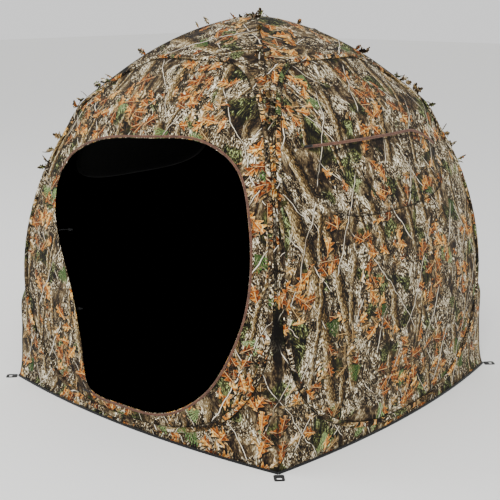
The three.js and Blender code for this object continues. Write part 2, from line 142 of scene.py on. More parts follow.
def corner_radius(z):
    """Distance to the corner line: radius x (1 - (z/peak)^3.15)^0.64, plus a small bell at the
    shoulder and a flare that dies away from the ground."""
    t = np.clip(np.asarray(z, float) / PEAK, 0, 1)
    dome = CORNER_RADIUS * (1 - t**3.15) ** 0.64
    bell = SHOULDER * np.exp(-(((t - SHOULDER_SHARE) / 0.05) ** 2))
    return dome + bell + CORNER_FLARE * np.exp(-np.asarray(z, float) / FLARE_HEIGHT)


def half_width(z):
    return corner_radius(z) / math.sqrt(2)


def bow(z):
    """How far the middle of a wall stands out past its corner lines, fading to none at the peak."""
    t = np.asarray(z, float) / PEAK
    return WALL_BOW * (1 + 0.88 * t - 1.1 * t * t) * (1 - np.exp(-half_width(z) / 0.080))


def skin(x, z):
    """Points of the front wall's skin: y is the half width plus the bow times 1 - (x/width)^2."""
    x, z = np.broadcast_arrays(np.asarray(x, float), np.asarray(z, float))
    w = half_width(z)
    return np.stack([x, -(w + bow(z) * (1 - (x / w) ** 2)), z], axis=-1)


def skin_normal(x, z):
    """Outward unit normals, from small steps along the skin."""
    step = 0.0005
    across = skin(x + step, z) - skin(x - step, z)
    up = skin(x, z + step) - skin(x, z - step)
    normal = np.cross(across, up)
    return normal / np.linalg.norm(normal, axis=-1, keepdims=True)


def on_skin(x, z, out=0.0):
    """Skin points moved out along the normal by a distance, which may be an array."""
    return skin(x, z) + skin_normal(x, z) * np.asarray(out, float)[..., None]


def turned(points, turn):
    """Points of the front side carried round to another side by quarter turns."""
    c, s = ((1, 0), (0, 1), (-1, 0), (0, -1))[turn % 4]
    x, y = points[..., 0], points[..., 1]
    return np.stack([c * x - s * y, s * x + c * y, points[..., 2]], axis=-1)


HEIGHTS = np.linspace(0, PEAK, 801)
SLOPE_STEPS = np.hypot(np.diff(HEIGHTS), np.diff(half_width(HEIGHTS)))
SLOPE = np.concatenate([[0], np.cumsum(SLOPE_STEPS)])


def cloth_uv(x, z, turn, shift=0.0):
    """The print's coordinates in metres: along the wall, and up its slope."""
    x, z = np.broadcast_arrays(np.asarray(x, float), np.asarray(z, float))
    rise = np.interp(z, HEIGHTS, SLOPE)
    return np.stack([x + 2.3 * turn + shift, rise + 0.9 * turn + shift], axis=-1)


def waves(x, y, seed, length, count=9):
    """Smooth unevenness from -1 to 1: a sum of plane waves of about one length, each with its
    own direction and start."""
    rng = np.random.default_rng(seed)
    total = np.zeros(np.broadcast(x, y).shape)
    for _ in range(count):
        angle, start = rng.uniform(0, 2 * math.pi, 2)
        k = 2 * math.pi / (length * rng.uniform(0.7, 1.5))
        total = total + np.sin(k * (x * math.cos(angle) + y * math.sin(angle)) + start)
    return total / count * 1.6


# ---- Outlines drawn on a wall ---------------------------------------------------------------


def superellipse(share, powers):
    """Unit superellipse by share of a turn from its lowest point, towards +x first."""
    angle = 2 * math.pi * np.asarray(share, float) - math.pi / 2
    c, s = np.cos(angle), np.sin(angle)
    power = np.where(s < 0, 2 / powers[0], 2 / powers[1])
    return np.sign(c) * np.abs(c) ** power, np.sign(s) * np.abs(s) ** power


class Outline:
    """Closed curve on the front wall, read by share of its length along the skin."""

    def __init__(self, x, z, middle):
        self.middle = middle
        points = skin(x, z)
        closed = np.concatenate([points, points[:1]])
        steps = np.linalg.norm(np.diff(closed, axis=0), axis=1)
        run = np.concatenate([[0], np.cumsum(steps)])
        self.length = run[-1]
        self.shares = run / run[-1]
        self.x = np.append(x, x[0])
        self.z = np.append(z, z[0])
        self.angle = np.unwrap(np.arctan2(self.z - middle[1], self.x - middle[0]))

    def at(self, share):
        s = np.asarray(share, float) % 1.0
        return np.interp(s, self.shares, self.x), np.interp(s, self.shares, self.z)

    def frame(self, share):
        """Point, outward normal and the sideways direction away from the middle."""
        x, z = self.at(share)
        ahead = skin(*self.at(share + 0.002))
        behind = skin(*self.at(share - 0.002))
        normal = skin_normal(x, z)
        side = np.cross(ahead - behind, normal)
        side /= np.linalg.norm(side, axis=-1, keepdims=True)
        return skin(x, z), normal, side

    def edge(self, share, distance):
        """(x, z) of the curve moved sideways along the skin by a distance."""
        point, _, side = self.frame(share)
        moved = point + side * np.asarray(distance, float)[..., None]
        return moved[..., 0], moved[..., 2]

    def share_towards(self, x, z):
        """Share of the length where rays from the middle through given points meet it."""
        goal = np.arctan2(z - self.middle[1], x - self.middle[0])
        goal = self.angle[0] + (goal - self.angle[0]) % (2 * math.pi)
        return np.interp(goal, self.angle, self.shares)


def hoop_outline():
    across, up = superellipse(np.arange(2400) / 2400, HOOP_POWERS)
    z = (HOOP_BOTTOM + HOOP_TOP) / 2 + (HOOP_TOP - HOOP_BOTTOM) / 2 * up
    return Outline(HOOP_REACH * across * half_width(z), z, (0.0, (HOOP_BOTTOM + HOOP_TOP) / 2))


def window_outline():
    across, up = superellipse(np.arange(1200) / 1200, (WINDOW_POWER, WINDOW_POWER))
    x = WINDOW_MIDDLE[0] + WINDOW_HALF[0] * across
    return Outline(x, WINDOW_MIDDLE[1] + WINDOW_HALF[1] * up, WINDOW_MIDDLE)


def door_outline():
    """Closed centripetal spline through the door's points: each stretch is blended from its
    four nearest points, spaced by the square roots of their distances."""
    points = np.array(DOOR_OUTLINE)
    stretches = []
    for i in range(len(points)):
        p0, p1, p2, p3 = (points[(i + k) % len(points)] for k in (-1, 0, 1, 2))
        pairs = ((p0, p1), (p1, p2), (p2, p3))
        t1, t2, t3 = np.cumsum([math.sqrt(math.dist(a, b)) for a, b in pairs])
        t = np.linspace(t1, t2, 60, endpoint=False)[:, None]
        a1 = (t1 - t) / t1 * p0 + t / t1 * p1
        a2 = (t2 - t) / (t2 - t1) * p1 + (t - t1) / (t2 - t1) * p2
        a3 = (t3 - t) / (t3 - t2) * p2 + (t - t2) / (t3 - t2) * p3
        b1 = (t2 - t) / t2 * a1 + t / t2 * a2
        b2 = (t3 - t) / (t3 - t1) * a2 + (t - t1) / (t3 - t1) * a3
        stretches.append((t2 - t) / (t2 - t1) * b1 + (t - t1) / (t2 - t1) * b2)
    curve = np.concatenate(stretches)
    return Outline(curve[:, 0], curve[:, 1], DOOR_MIDDLE)


HOOP = hoop_outline()
WINDOW = window_outline()
DOOR = door_outline()

# Where a gusset ends, and the way out from the corner between the front and the right wall
CLEFT_HEIGHT = float(HOOP.at(GUSSET_END)[1])
CORNER_OUT = np.array([1.0, -1.0, 0.0]) / math.sqrt(2)

# ---- Meshes from arrays ---------------------------------------------------------------------


def mesh_object(name, points, faces, uv=None, seam=None):
    """A mesh piece from points and quads, smooth shaded, with its print coordinates and how
    deep each point lies in a seam's shade, from 0 to 1."""
    mesh = bpy.data.meshes.new(name)
    mesh.from_pydata(points.reshape(-1, 3).tolist(), [], faces.tolist())
    mesh.polygons.foreach_set("use_smooth", np.ones(len(mesh.polygons), bool))
    if uv is not None:
        corner = np.empty(len(mesh.loops), np.int32)
        mesh.loops.foreach_get("vertex_index", corner)
        layer = mesh.uv_layers.new(name="cloth")
        layer.data.foreach_set("uv", uv.reshape(-1, 2)[corner].ravel().astype(np.float32))
    if seam is not None:
        shade = mesh.attributes.new("seam", "FLOAT", "POINT")
        shade.data.foreach_set("value", np.broadcast_to(seam, points.shape[:-1]).ravel().astype(np.float32))
    mesh.update()
    piece = bpy.data.objects.new(name, mesh)
    bpy.context.collection.objects.link(piece)
    return piece


def grid_faces(rows, columns, wrap_columns=False, wrap_rows=False):
    """Quads of a grid whose points are stored row by row."""
    r = np.arange(rows if wrap_rows else rows - 1)
    c = np.arange(columns if wrap_columns else columns - 1)
    r, c = np.meshgrid(r, c, indexing="ij")
    r2, c2 = (r + 1) % rows, (c + 1) % columns
    quads = [r * columns + c, r * columns + c2, r2 * columns + c2, r2 * columns + c]
    return np.stack(quads, axis=-1).reshape(-1, 4)


def faces_out(points, faces, outward):
    """The same quads, reversed if most of them face against the outward directions."""
    flat = points.reshape(-1, 3)
    corner = flat[faces]
    normal = np.cross(corner[:, 2] - corner[:, 0], corner[:, 3] - corner[:, 1])
    agree = np.einsum("ij,ij->i", normal, outward.reshape(-1, 3)[faces[:, 0]])
    return faces if np.median(agree) >= 0 else faces[:, ::-1]


def modifier(piece, kind, **settings):
    added = piece.modifiers.new(kind.lower(), kind)
    for key, value in settings.items():
        setattr(added, key, value)
    return added


def cloth_piece(name, points, uv, outward, wrap=False, thick=CLOTH, lined=True, seam=None):
    """A sheet of cloth given its thickness inwards. Its inner face is the second material."""
    faces = faces_out(points, grid_faces(*points.shape[:2], wrap_columns=wrap), outward)
    piece = mesh_object(name, points, faces, uv, seam)
    inner = 1 if lined else 0
    modifier(piece, "SOLIDIFY", thickness=thick, offset=-1.0, material_offset=inner)
    return piece


def finish_piece(piece, nodes, materials, body="root"):
    for material in materials:
        piece.data.materials.append(material)
    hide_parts(*nodes)
    if body:
        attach(piece, body)
    return piece


def sweep(name, centre, across, out, section, closed=True, caps=False):
    """A section of (sideways, outwards) points carried along a path with its two directions.
    The section runs round its own middle, so the tube is closed; an open run gets end caps."""
    section = np.asarray(section, float)
    points = (centre[:, None] + across[:, None] * section[None, :, :1]
              + out[:, None] * section[None, :, 1:])
    outward = points - centre[:, None] - out[:, None] * section[:, 1].mean()
    faces = grid_faces(*points.shape[:2], wrap_columns=True, wrap_rows=closed)
    faces = faces_out(points, faces, outward)
    run = np.concatenate([[0], np.cumsum(np.linalg.norm(np.diff(centre, axis=0), axis=1))])
    girth = np.linspace(0, 1, len(section)) * np.abs(section).max() * 4
    uv = np.stack(np.meshgrid(run, girth, indexing="ij")[::-1], axis=-1)
    piece = mesh_object(name, points, faces, uv)
    if caps:
        close_ends(piece)
    return piece


def close_ends(piece):
    """Fills the open rings of a tube and turns every face outwards."""
    work = bmesh.new()
    work.from_mesh(piece.data)
    bmesh.ops.holes_fill(work, edges=[e for e in work.edges if e.is_boundary], sides=0)
    bmesh.ops.recalc_face_normals(work, faces=work.faces)
    work.to_mesh(piece.data)
    work.free()


def closed_tube(name, rings, middle=None):
    """Rings of points joined into a tube with its ends filled. Its faces look away from the
    middle, or from each ring's own centre."""
    middle = rings.mean(axis=1, keepdims=True) if middle is None else middle
    faces = faces_out(rings, grid_faces(*rings.shape[:2], wrap_columns=True), rings - middle)
    piece = mesh_object(name, rings, faces)
    close_ends(piece)
    return piece


def rounded_section(half, low, high, count=14, power=3.0):
    """A flattened loop: a superellipse of the given half width between two heights."""
    angle = 2 * math.pi * np.arange(count) / count
    c, s = np.cos(angle), np.sin(angle)
    across = half * np.sign(c) * np.abs(c) ** (2 / power)
    rise = np.sign(s) * np.abs(s) ** (2 / power)
    return np.stack([across, (low + high) / 2 + (high - low) / 2 * rise], axis=-1)


# ---- Materials ------------------------------------------------------------------------------


def linear(code):
    """Linear colour with alpha from an sRGB hex code."""
    srgb = [int(code[i:i + 2], 16) / 255 for i in (1, 3, 5)]
    return tuple(v / 12.92 if v <= 0.04045 else ((v + 0.055) / 1.055) ** 2.4 for v in srgb) + (1,)


def add(tree, kind, *inputs, out=0, stops=(), **settings):
    """Adds a shader node, as "Kind" or "Kind.OPERATION". Inputs are sockets to link or values,
    in order; out is the index of the socket returned, or a tuple of several."""
    kind, _, operation = kind.partition(".")
    node = tree.nodes.new("ShaderNode" + kind)
    if operation:
        node.operation = operation
    for key, value in settings.items():
        setattr(node, key, value)
    for i, (place, code) in enumerate(stops):
        ramp = node.color_ramp.elements
        stop = ramp[i] if i < 2 else ramp.new(place)
        stop.position = place
        stop.color = linear(code)
    for i, value in enumerate(inputs):
        if isinstance(value, bpy.types.NodeSocket):
            tree.links.new(value, node.inputs[i])
        elif value is not None:
            node.inputs[i].default_value = value
    return tuple(node.outputs[i] for i in out) if isinstance(out, tuple) else node.outputs[out]


def new_material(name, roughness, metallic=0.0, sheen=0.0, ior=1.5):
    """A material and its node tree, with the constant values on the shader's own sockets."""
    material = bpy.data.materials.new(name)
    material.use_nodes = True
    tree = material.node_tree
    shader = tree.nodes["Principled BSDF"]
    shader.inputs["Roughness"].default_value = roughness
    shader.inputs["Metallic"].default_value = metallic
    shader.inputs["Sheen Weight"].default_value = sheen
    shader.inputs["IOR"].default_value = ior
    return material, tree, shader


def weave_bump(tree, shader, where, pitch, depth):
    """Plain weave: two crossed sets of threads at the given pitch, raised by depth."""
    turns = 2 * math.pi / pitch
    x, y = add(tree, "SeparateXYZ", add(tree, "VectorMath.MULTIPLY", where, (turns,) * 3), out=(0, 1))
    height = add(tree, "Math.MULTIPLY", add(tree, "Math.SINE", x), add(tree, "Math.SINE", y))
    bump = tree.nodes.new("ShaderNodeBump")
    bump.inputs["Distance"].default_value = depth
    bump.inputs["Strength"].default_value = 0.6
    tree.links.new(height, bump.inputs["Height"])
    tree.links.new(bump.outputs[0], shader.inputs["Normal"])


def ramp(tree, value, low, high):
    """0 below low and 1 above high, smoothly; low may be the greater of the two."""
    return add(tree, "MapRange", value, low, high, 0.0, 1.0, interpolation_type="SMOOTHSTEP")


def litter(tree, where):
    """Forest floor and bark: upright flecks of 2 to 9 mm and flakes that lie slantwise, light
    against dark. Calm patches of about 150 mm have less of them, and some patches are mossy."""
    drift = add(tree, "TexNoise", where, None, 7.0, 2.0, out=1, noise_dimensions="2D")
    drifted = add(tree, "VectorMath.MULTIPLY_ADD", drift, (0.08, 0.08, 0.0), where)
    fine = None
    for angle, size in ((0.45, (300.0, 95.0, 1.0)), (-0.6, (190.0, 62.0, 1.0))):
        lying = add(tree, "VectorRotate", drifted, None, None, angle, rotation_type="Z_AXIS")
        stretched = add(tree, "VectorMath.MULTIPLY", lying, size)
        colour = add(tree, "TexVoronoi", stretched, None, 1.0, out=1, voronoi_dimensions="2D")
        flake = add(tree, "Math.SUBTRACT", add(tree, "SeparateColor", colour), 0.5)
        fine = add(tree, "Math.MULTIPLY_ADD", flake, 0.30, fine if fine else 0.0)
    upright = add(tree, "VectorMath.MULTIPLY", drifted, (1.0, 0.45, 1.0))
    fleck = add(tree, "TexNoise", upright, None, 250.0, 2.0, 0.6, noise_dimensions="2D")
    fine = add(tree, "Math.MULTIPLY_ADD", add(tree, "Math.SUBTRACT", fleck, 0.5), 1.7, fine)
    still = add(tree, "TexNoise", drifted, None, 6.5, 1.0, noise_dimensions="2D", out=(0, 1))
    calm, mossy, _ = add(tree, "SeparateColor", still[1], out=(0, 1, 2))
    keep = add(tree, "Math.MULTIPLY_ADD", ramp(tree, calm, 0.56, 0.60), -0.65, 1.0)
    streak = add(tree, "TexNoise", upright, None, 42.0, 2.0, 0.6, noise_dimensions="2D")
    patch = add(tree, "TexNoise", where, None, 9.0, 2.0, 0.5, noise_dimensions="2D")
    level = add(tree, "Math.MULTIPLY_ADD", fine, keep, add(tree, "Math.MULTIPLY", streak, 0.8))
    level = add(tree, "Math.MULTIPLY_ADD", patch, 0.6, level)
    level = add(tree, "MapRange", level, 0.33, 1.12)
    colour = add(tree, "ValToRGB", level, stops=LITTER)
    moss = add(tree, "Math.MULTIPLY", ramp(tree, mossy, 0.57, 0.63), 0.9)
    return add(tree, "MixRGB", moss, colour, linear("#93ac78"), blend_type="MULTIPLY")


def trunks(tree, where, below, pitch, lean, half, seed):
    """Tree trunks, one in most strips of the given pitch: each has its own place and width,
    wavering edges, bark streaks along it, and is light down one side and dark down the other."""
    along = add(tree, "VectorMath.MULTIPLY_ADD", where, (1.0, 3.2, 1.0), (seed, seed, 0.0))
    waver = add(tree, "TexNoise", along, None, 2.4, 1.5, noise_dimensions="2D")
    x, y = add(tree, "SeparateXYZ", where, out=(0, 1))
    x = add(tree, "Math.MULTIPLY_ADD", y, lean, x)
    x = add(tree, "Math.MULTIPLY_ADD", waver, 0.045, x)
    strip = add(tree, "Math.DIVIDE", x, pitch)
    number = add(tree, "Math.FLOOR", strip)
    place = add(tree, "Math.SUBTRACT", add(tree, "Math.FRACT", strip), 0.5)
    number = add(tree, "Math.ADD", number, seed)
    random = add(tree, "TexWhiteNoise", None, number, out=1, noise_dimensions="1D")
    shift, width, kind = add(tree, "SeparateColor", random, out=(0, 1, 2))
    place = add(tree, "Math.MULTIPLY_ADD", shift, 0.5, add(tree, "Math.SUBTRACT", place, 0.25))
    girth = add(tree, "Math.MULTIPLY_ADD", width, half / pitch, 0.45 * half / pitch)
    share = add(tree, "Math.DIVIDE", place, girth)
    reach = add(tree, "Math.ABSOLUTE", share)
    body = ramp(tree, reach, 1.0, 0.93)
    fading = add(tree, "TexNoise", along, None, 1.1, 1.0, noise_dimensions="2D")
    body = add(tree, "Math.MULTIPLY", body, ramp(tree, fading, 0.46, 0.52))
    body = add(tree, "Math.MULTIPLY", body, ramp(tree, kind, 0.20, 0.23))
    streak = add(tree, "VectorMath.MULTIPLY", add(tree, "CombineXYZ", x, y), (210.0, 75.0, 1.0))
    bark = add(tree, "TexNoise", streak, None, 1.0, 4.0, 0.7, noise_dimensions="2D")
    lit = add(tree, "Math.MULTIPLY_ADD", share, -0.16, add(tree, "Math.SUBTRACT", bark, 0.03))
    colour = add(tree, "ValToRGB", lit, stops=BARK)
    shade = add(tree, "Math.MULTIPLY", ramp(tree, reach, 1.7, 1.0), ramp(tree, share, 0.0, 0.6))
    shade = add(tree, "Math.MULTIPLY", shade, ramp(tree, fading, 0.46, 0.52))
    shaded = add(tree, "MixRGB", add(tree, "Math.MULTIPLY", shade, 0.75), below, linear("#0a0603"))
    return add(tree, "MixRGB", body, shaded, colour)


def twigs(tree, where, below, angle, pitch, half, seed):
    """Fallen twigs at about one angle: thin wavering pale lines between dark rims, lighter down
    one side, that come and go along their length."""
    lying = add(tree, "VectorRotate", where, None, None, angle, rotation_type="Z_AXIS")
    moved = add(tree, "VectorMath.ADD", lying, (seed, 1.3 * seed, 0.0))
    waver = add(tree, "TexNoise", moved, None, 6.0, 3.0, noise_dimensions="2D")
    long = add(tree, "VectorMath.MULTIPLY", moved, (1.0, 3.0, 1.0))
    fading = add(tree, "TexNoise", long, None, 3.0, 1.0, noise_dimensions="2D")
    y = add(tree, "SeparateXYZ", moved, out=1)
    row = add(tree, "Math.DIVIDE", add(tree, "Math.MULTIPLY_ADD", waver, 0.05, y), pitch)
    place = add(tree, "Math.SUBTRACT", add(tree, "Math.FRACT", row), 0.5)
    place = add(tree, "Math.MULTIPLY", place, pitch / half)
    reach = add(tree, "Math.ABSOLUTE", place)
    seen = ramp(tree, fading, 0.50, 0.54)
    dark = add(tree, "Math.MULTIPLY", ramp(tree, reach, 2.6, 1.6), seen)
    pale = add(tree, "Math.MULTIPLY", ramp(tree, reach, 1.1, 0.8), seen)
    lit = add(tree, "Math.MULTIPLY_ADD", place, 0.3, waver)
    colour = add(tree, "ValToRGB", lit, stops=((0.2, "#5f4b33"), (0.6, "#f1e7d2")))
    shaded = add(tree, "MixRGB", add(tree, "Math.MULTIPLY", dark, 0.8), below, linear("#0c0703"))
    return add(tree, "MixRGB", pale, shaded, colour)


def scattered(tree, where, pitch, seed):
    """One stamp in each cell of a loose scatter. Gives the place inside the stamp, in shares of
    the pitch and turned its own way, and three numbers that differ from stamp to stamp."""
    scaled = add(tree, "VectorMath.MULTIPLY_ADD", where, (1 / pitch, 1 / pitch, 0.0),
                 (seed, 2.3 * seed, 0.0))
    colour, middle = add(tree, "TexVoronoi", scaled, None, 1.0, None, None, None, None, None, 0.75,
                         out=(1, 2), voronoi_dimensions="2D")
    local = add(tree, "VectorMath.SUBTRACT", scaled, middle)
    return local, *add(tree, "SeparateColor", colour, out=(0, 1, 2))


def oak_leaves(tree, where, below, pitch, seed, share, colours):
    """Fallen oak leaves: about four slanting lobes a side, a pale midrib, one half in shade, a
    pale rim, and a dark shadow beneath."""
    spot, turn, kind, tone = scattered(tree, where, pitch, seed)
    angle = add(tree, "Math.MULTIPLY", turn, 2 * math.pi)
    group = add(tree, "TexNoise", where, None, 4.2, 1.0, noise_dimensions="2D")
    there = add(tree, "Math.MULTIPLY_ADD", group, -3.0, kind)
    there = ramp(tree, there, share - 1.48, share - 1.5)
    result = below
    for offset in ((-0.05, 0.07, 0.0), (0.0, 0.0, 0.0)):
        shifted = add(tree, "VectorMath.ADD", spot, offset)
        local = add(tree, "VectorRotate", shifted, None, None, angle, rotation_type="Z_AXIS")
        x, y = add(tree, "SeparateXYZ", local, out=(0, 1))
        side = add(tree, "Math.ABSOLUTE", x)
        tip = add(tree, "Math.MULTIPLY_ADD", side, -0.7, add(tree, "Math.ADD", y, 0.5))
        whole = add(tree, "Math.SINE", add(tree, "Math.MULTIPLY", tip, math.pi))
        lobe = add(tree, "Math.SINE", add(tree, "Math.MULTIPLY", tip, 2 * math.pi * 3.6))
        edge = add(tree, "Math.MULTIPLY", whole, add(tree, "Math.MULTIPLY_ADD", lobe, 0.12, 0.25))
        inside = add(tree, "Math.SUBTRACT", edge, side)
        if offset[1]:
            dark = add(tree, "Math.MULTIPLY", ramp(tree, inside, -0.05, 0.04), there)
            result = add(tree, "MixRGB", add(tree, "Math.MULTIPLY", dark, 0.85), result,
                         linear("#080402"))
    mask = add(tree, "Math.MULTIPLY", ramp(tree, inside, 0.0, 0.015), there)
    mottle = add(tree, "TexNoise", where, None, 95.0, 3.0, 0.6, noise_dimensions="2D")
    hue = add(tree, "Math.MULTIPLY_ADD", tone, 0.5, add(tree, "Math.MULTIPLY", mottle, 1.3))
    hue = add(tree, "Math.SUBTRACT", hue, 0.28)
    half = ramp(tree, x, -0.01, 0.01)
    hue = add(tree, "Math.MULTIPLY_ADD", half, -0.22, hue)
    colour = add(tree, "ValToRGB", hue, stops=colours)
    rim = add(tree, "Math.MULTIPLY", ramp(tree, inside, 0.07, 0.02), 0.45)
    rib = add(tree, "Math.MAXIMUM", ramp(tree, side, 0.022, 0.008), rim)
    colour = add(tree, "MixRGB", add(tree, "Math.MULTIPLY", rib, 0.7), colour, linear("#e3c590"))
    return add(tree, "MixRGB", mask, result, colour)


def needle_sprays(tree, where, below, pitch, seed, share):
    """Hanging sprays of green needles: rays that spread from one point, light and dark green."""
    spot, turn, kind, tone = scattered(tree, where, pitch, seed)
    angle = add(tree, "Math.MULTIPLY_ADD", turn, 2.4, -1.2)
    local = add(tree, "VectorRotate", spot, None, None, angle, rotation_type="Z_AXIS")
    x, y = add(tree, "SeparateXYZ", local, out=(0, 1))
    down = add(tree, "Math.SUBTRACT", 0.36, y)
    ray = add(tree, "Math.ARCTAN2", x, down)
    length = add(tree, "VectorMath.LENGTH", add(tree, "CombineXYZ", x, down), out=1)
    jitter = add(tree, "TexNoise", spot, None, 7.0, 2.0, noise_dimensions="2D")
    beat = add(tree, "Math.MULTIPLY_ADD", jitter, 9.0, add(tree, "Math.MULTIPLY", ray, 34.0))
    needle = ramp(tree, add(tree, "Math.SINE", beat), -0.2, 0.25)
    spread = ramp(tree, add(tree, "Math.ABSOLUTE", ray), 0.75, 0.55)
    far = add(tree, "Math.MULTIPLY_ADD", jitter, 0.5, length)
    body = add(tree, "Math.MULTIPLY", spread, ramp(tree, far, 0.95, 0.85))
    body = add(tree, "Math.MULTIPLY", body, ramp(tree, kind, share + 0.02, share))
    hue = add(tree, "Math.MULTIPLY_ADD", needle, 0.6, add(tree, "Math.MULTIPLY", tone, 0.35))
    colour = add(tree, "ValToRGB", hue, stops=NEEDLES)
    solid = add(tree, "Math.MULTIPLY", body, add(tree, "Math.MULTIPLY_ADD", needle, 0.6, 0.3))
    return add(tree, "MixRGB", solid, below, colour)


LITTER = ((0.0, "#030100"), (1.0, "#fff6df"), (0.20, "#160c04"), (0.38, "#32261a"),
          (0.54, "#594a32"), (0.68, "#837256"), (0.80, "#ac9d7b"), (0.91, "#dfd5b8"))
BARK = ((0.28, "#080401"), (0.80, "#fffbf2"), (0.40, "#352510"), (0.50, "#6b5633"),
        (0.60, "#a18c62"), (0.70, "#dccfae"))
ORANGES = ((0.08, "#1a0b03"), (1.0, "#efd592"), (0.30, "#4a210c"), (0.48, "#84410f"),
           (0.66, "#a8691f"), (0.84, "#cd9c49"))
TANS = ((0.08, "#140b04"), (1.0, "#f7ead0"), (0.4, "#553d1e"), (0.7, "#a08250"))
NEEDLES = ((0.0, "#060a05"), (0.95, "#9db57a"), (0.4, "#1d3014"), (0.7, "#4c6e34"))


def camo_cloth():
    """Printed coated polyester, dull with a faint sheen: a woodland print built up from the
    forest floor through trunks and twigs to fallen leaves and sprays of needles."""
    material, tree, shader = new_material("printed_coated_polyester", 0.85, sheen=0.02, ior=1.25)
    where = add(tree, "UVMap", uv_map="cloth")
    colour = litter(tree, where)
    colour = trunks(tree, where, colour, 0.150, 0.16, 0.020, 3.0)
    colour = twigs(tree, where, colour, 0.9, 0.12, 0.0016, 4.0)
    colour = trunks(tree, where, colour, 0.23, -0.20, 0.012, 8.0)
    colour = oak_leaves(tree, where, colour, 0.070, 1.7, 0.22, TANS)
    colour = needle_sprays(tree, where, colour, 0.105, 5.1, 0.13)
    colour = oak_leaves(tree, where, colour, 0.085, 6.3, 0.20, ORANGES)
    colour = twigs(tree, where, colour, -1.05, 0.17, 0.0020, 2.0)
    colour = oak_leaves(tree, where, colour, 0.066, 11.9, 0.16, ORANGES)
    # Painted shade: the seam attribute darkens the print beside the sleeves, down creases and ridges, in
    # the corner clefts and round the flap and patch rims
    seam = add(tree, "Attribute", out=2, attribute_name="seam")
    colour = add(tree, "MixRGB", add(tree, "Math.MULTIPLY", seam, 0.75), colour, linear("#0d0906"))
    colour = add(tree, "Gamma", colour, 1.12)
    tree.links.new(colour, shader.inputs["Base Color"])
    weave_bump(tree, shader, where, 0.0016, 0.0002)
    return material


def plain_cloth(name, code, dark, roughness, pitch, gloss=1.5):
    """Dyed woven goods: one colour with slight unevenness, and a weave at the given pitch. Gloss
    is the refractive index, with 1 for a dead matt coating."""
    material, tree, shader = new_material(name, roughness, sheen=0.1 * (gloss > 1), ior=gloss)
    where = add(tree, "TexCoord", out=3)
    uneven = add(tree, "TexNoise", where, None, 60.0, 3.0)
    colour = add(tree, "ValToRGB", uneven, stops=((0.35, dark), (0.65, code)))
    tree.links.new(colour, shader.inputs["Base Color"])
    weave_bump(tree, shader, where, pitch, 0.0003)
    return material


def zinc_alloy():
    """Cast zinc with dark enamel, worn a little at the edges."""
    material, tree, shader = new_material("enamelled_zinc", 0.38, metallic=0.7)
    where = add(tree, "TexCoord", out=3)
    wear = add(tree, "TexNoise", where, None, 400.0, 2.0)
    colour = add(tree, "ValToRGB", wear, stops=((0.45, "#2c2723"), (0.75, "#6b6158")))
    tree.links.new(colour, shader.inputs["Base Color"])
    return material


def spring_steel():
    """Tempered steel band, blue-grey, rolled along its length."""
    material, tree, shader = new_material("tempered_spring_steel", 0.35, metallic=1.0)
    where = add(tree, "TexCoord", out=3)
    streak = add(tree, "TexNoise", where, None, 120.0, 4.0)
    colour = add(tree, "ValToRGB", streak, stops=((0.3, "#4b5057"), (0.7, "#7c8289")))
    tree.links.new(colour, shader.inputs["Base Color"])
    return material


CAMO = camo_cloth()
# The black lining material also gives painted shade, on the sheet under the blind and the hem's inner side
LINING_AND_SHADE = plain_cloth("black_lining_and_painted_shade", "#010101", "#000000", 1.0, 0.0016, gloss=1.0)
BROWN = plain_cloth("brown_zip_tape", "#6a4430", "#4c2f20", 0.75, 0.0012)
BLACK = plain_cloth("black_webbing", "#111112", "#070708", 0.75, 0.0024, gloss=1.3)
NET = plain_cloth("dark_netting", "#0d0e0c", "#040403", 0.9, 0.0030, gloss=1.2)
ZINC = zinc_alloy()
STEEL = spring_steel()

# ---- Walls, roof and corners ----------------------------------------------------------------

AROUND = 360


def wall_panel(side, turn):
    """Cloth between an opening and the hoop: straight rays from the opening's edge to the
    sleeve, with puckers that fade away from the seam and a slow billow."""
    opening = DOOR if side == "front" else WINDOW
    share = np.arange(AROUND) / AROUND
    outer = np.stack(HOOP.edge(share, np.full(AROUND, -SEAM_GAP)))
    inner = np.stack(opening.at(opening.share_towards(*outer)))
    f = (1 - (1 - np.linspace(0, 1, 44)) ** 1.5)[:, None]
    x = inner[0] + f * (outer[0] - inner[0])
    z = inner[1] + f * (outer[1] - inner[1])
    reach = np.hypot(outer[0] - inner[0], outer[1] - inner[1])
    gap = (1 - f) * reach
    rim = reach - gap
    quiet = np.clip(np.minimum(gap, rim) / 0.03, 0, 1)
    pucker = np.sin(2 * math.pi * share * 62 + 3 * waves(x, z, 5 + turn, 0.25)) * np.exp(-gap / 0.035)
    out = 0.0014 * pucker * np.clip(gap / 0.004, 0, 1) + 0.0035 * quiet * waves(x, z, 11 + turn, 0.33)
    out = out - 0.0020 * np.exp(-((gap / 0.004) ** 2))
    points = turned(on_skin(x, z, out), turn)
    uv = cloth_uv(x, z, turn)
    # Painted shade beside the sleeve, where the cloth tucks under it, is carried in the seam attribute
    piece = cloth_piece(f"{side}_wall_cloth", points, uv, turned(skin_normal(x, z), turn),
                        wrap=True, seam=np.exp(-((gap / 0.006) ** 2)))
    # The surface, along its bow and up its slope, spans about 1.39 x 1.52 m
    return finish_piece(piece, [f"{side}_wall"], [CAMO, LINING_AND_SHADE])


def hoop_sleeve(side, turn):
    """Sleeve of cloth over the steel band: a flattened tube that follows the hoop and ripples a
    little along its length."""
    share = np.arange(AROUND) / AROUND
    centre, normal, away = HOOP.frame(share)
    wobble = 0.0005 * np.sin(2 * math.pi * share * 90)
    section = rounded_section(*SLEEVE)
    piece = sweep(f"{side}_sleeve", turned(centre + normal * wobble[:, None], turn),
                  turned(away, turn), turned(normal, turn), section)
    layer = piece.data.uv_layers["cloth"].data
    uv = np.empty(len(layer) * 2, np.float32)
    layer.foreach_get("uv", uv)
    layer.foreach_set("uv", uv + 4.0 + 0.7 * turn)
    inner = np.tile(np.arange(len(section)) > len(section) // 2, AROUND)
    piece.data.polygons.foreach_set("material_index", inner.astype(np.int32))
    return finish_piece(piece, [f"{side}_hoop_sleeve"], [CAMO, LINING_AND_SHADE])


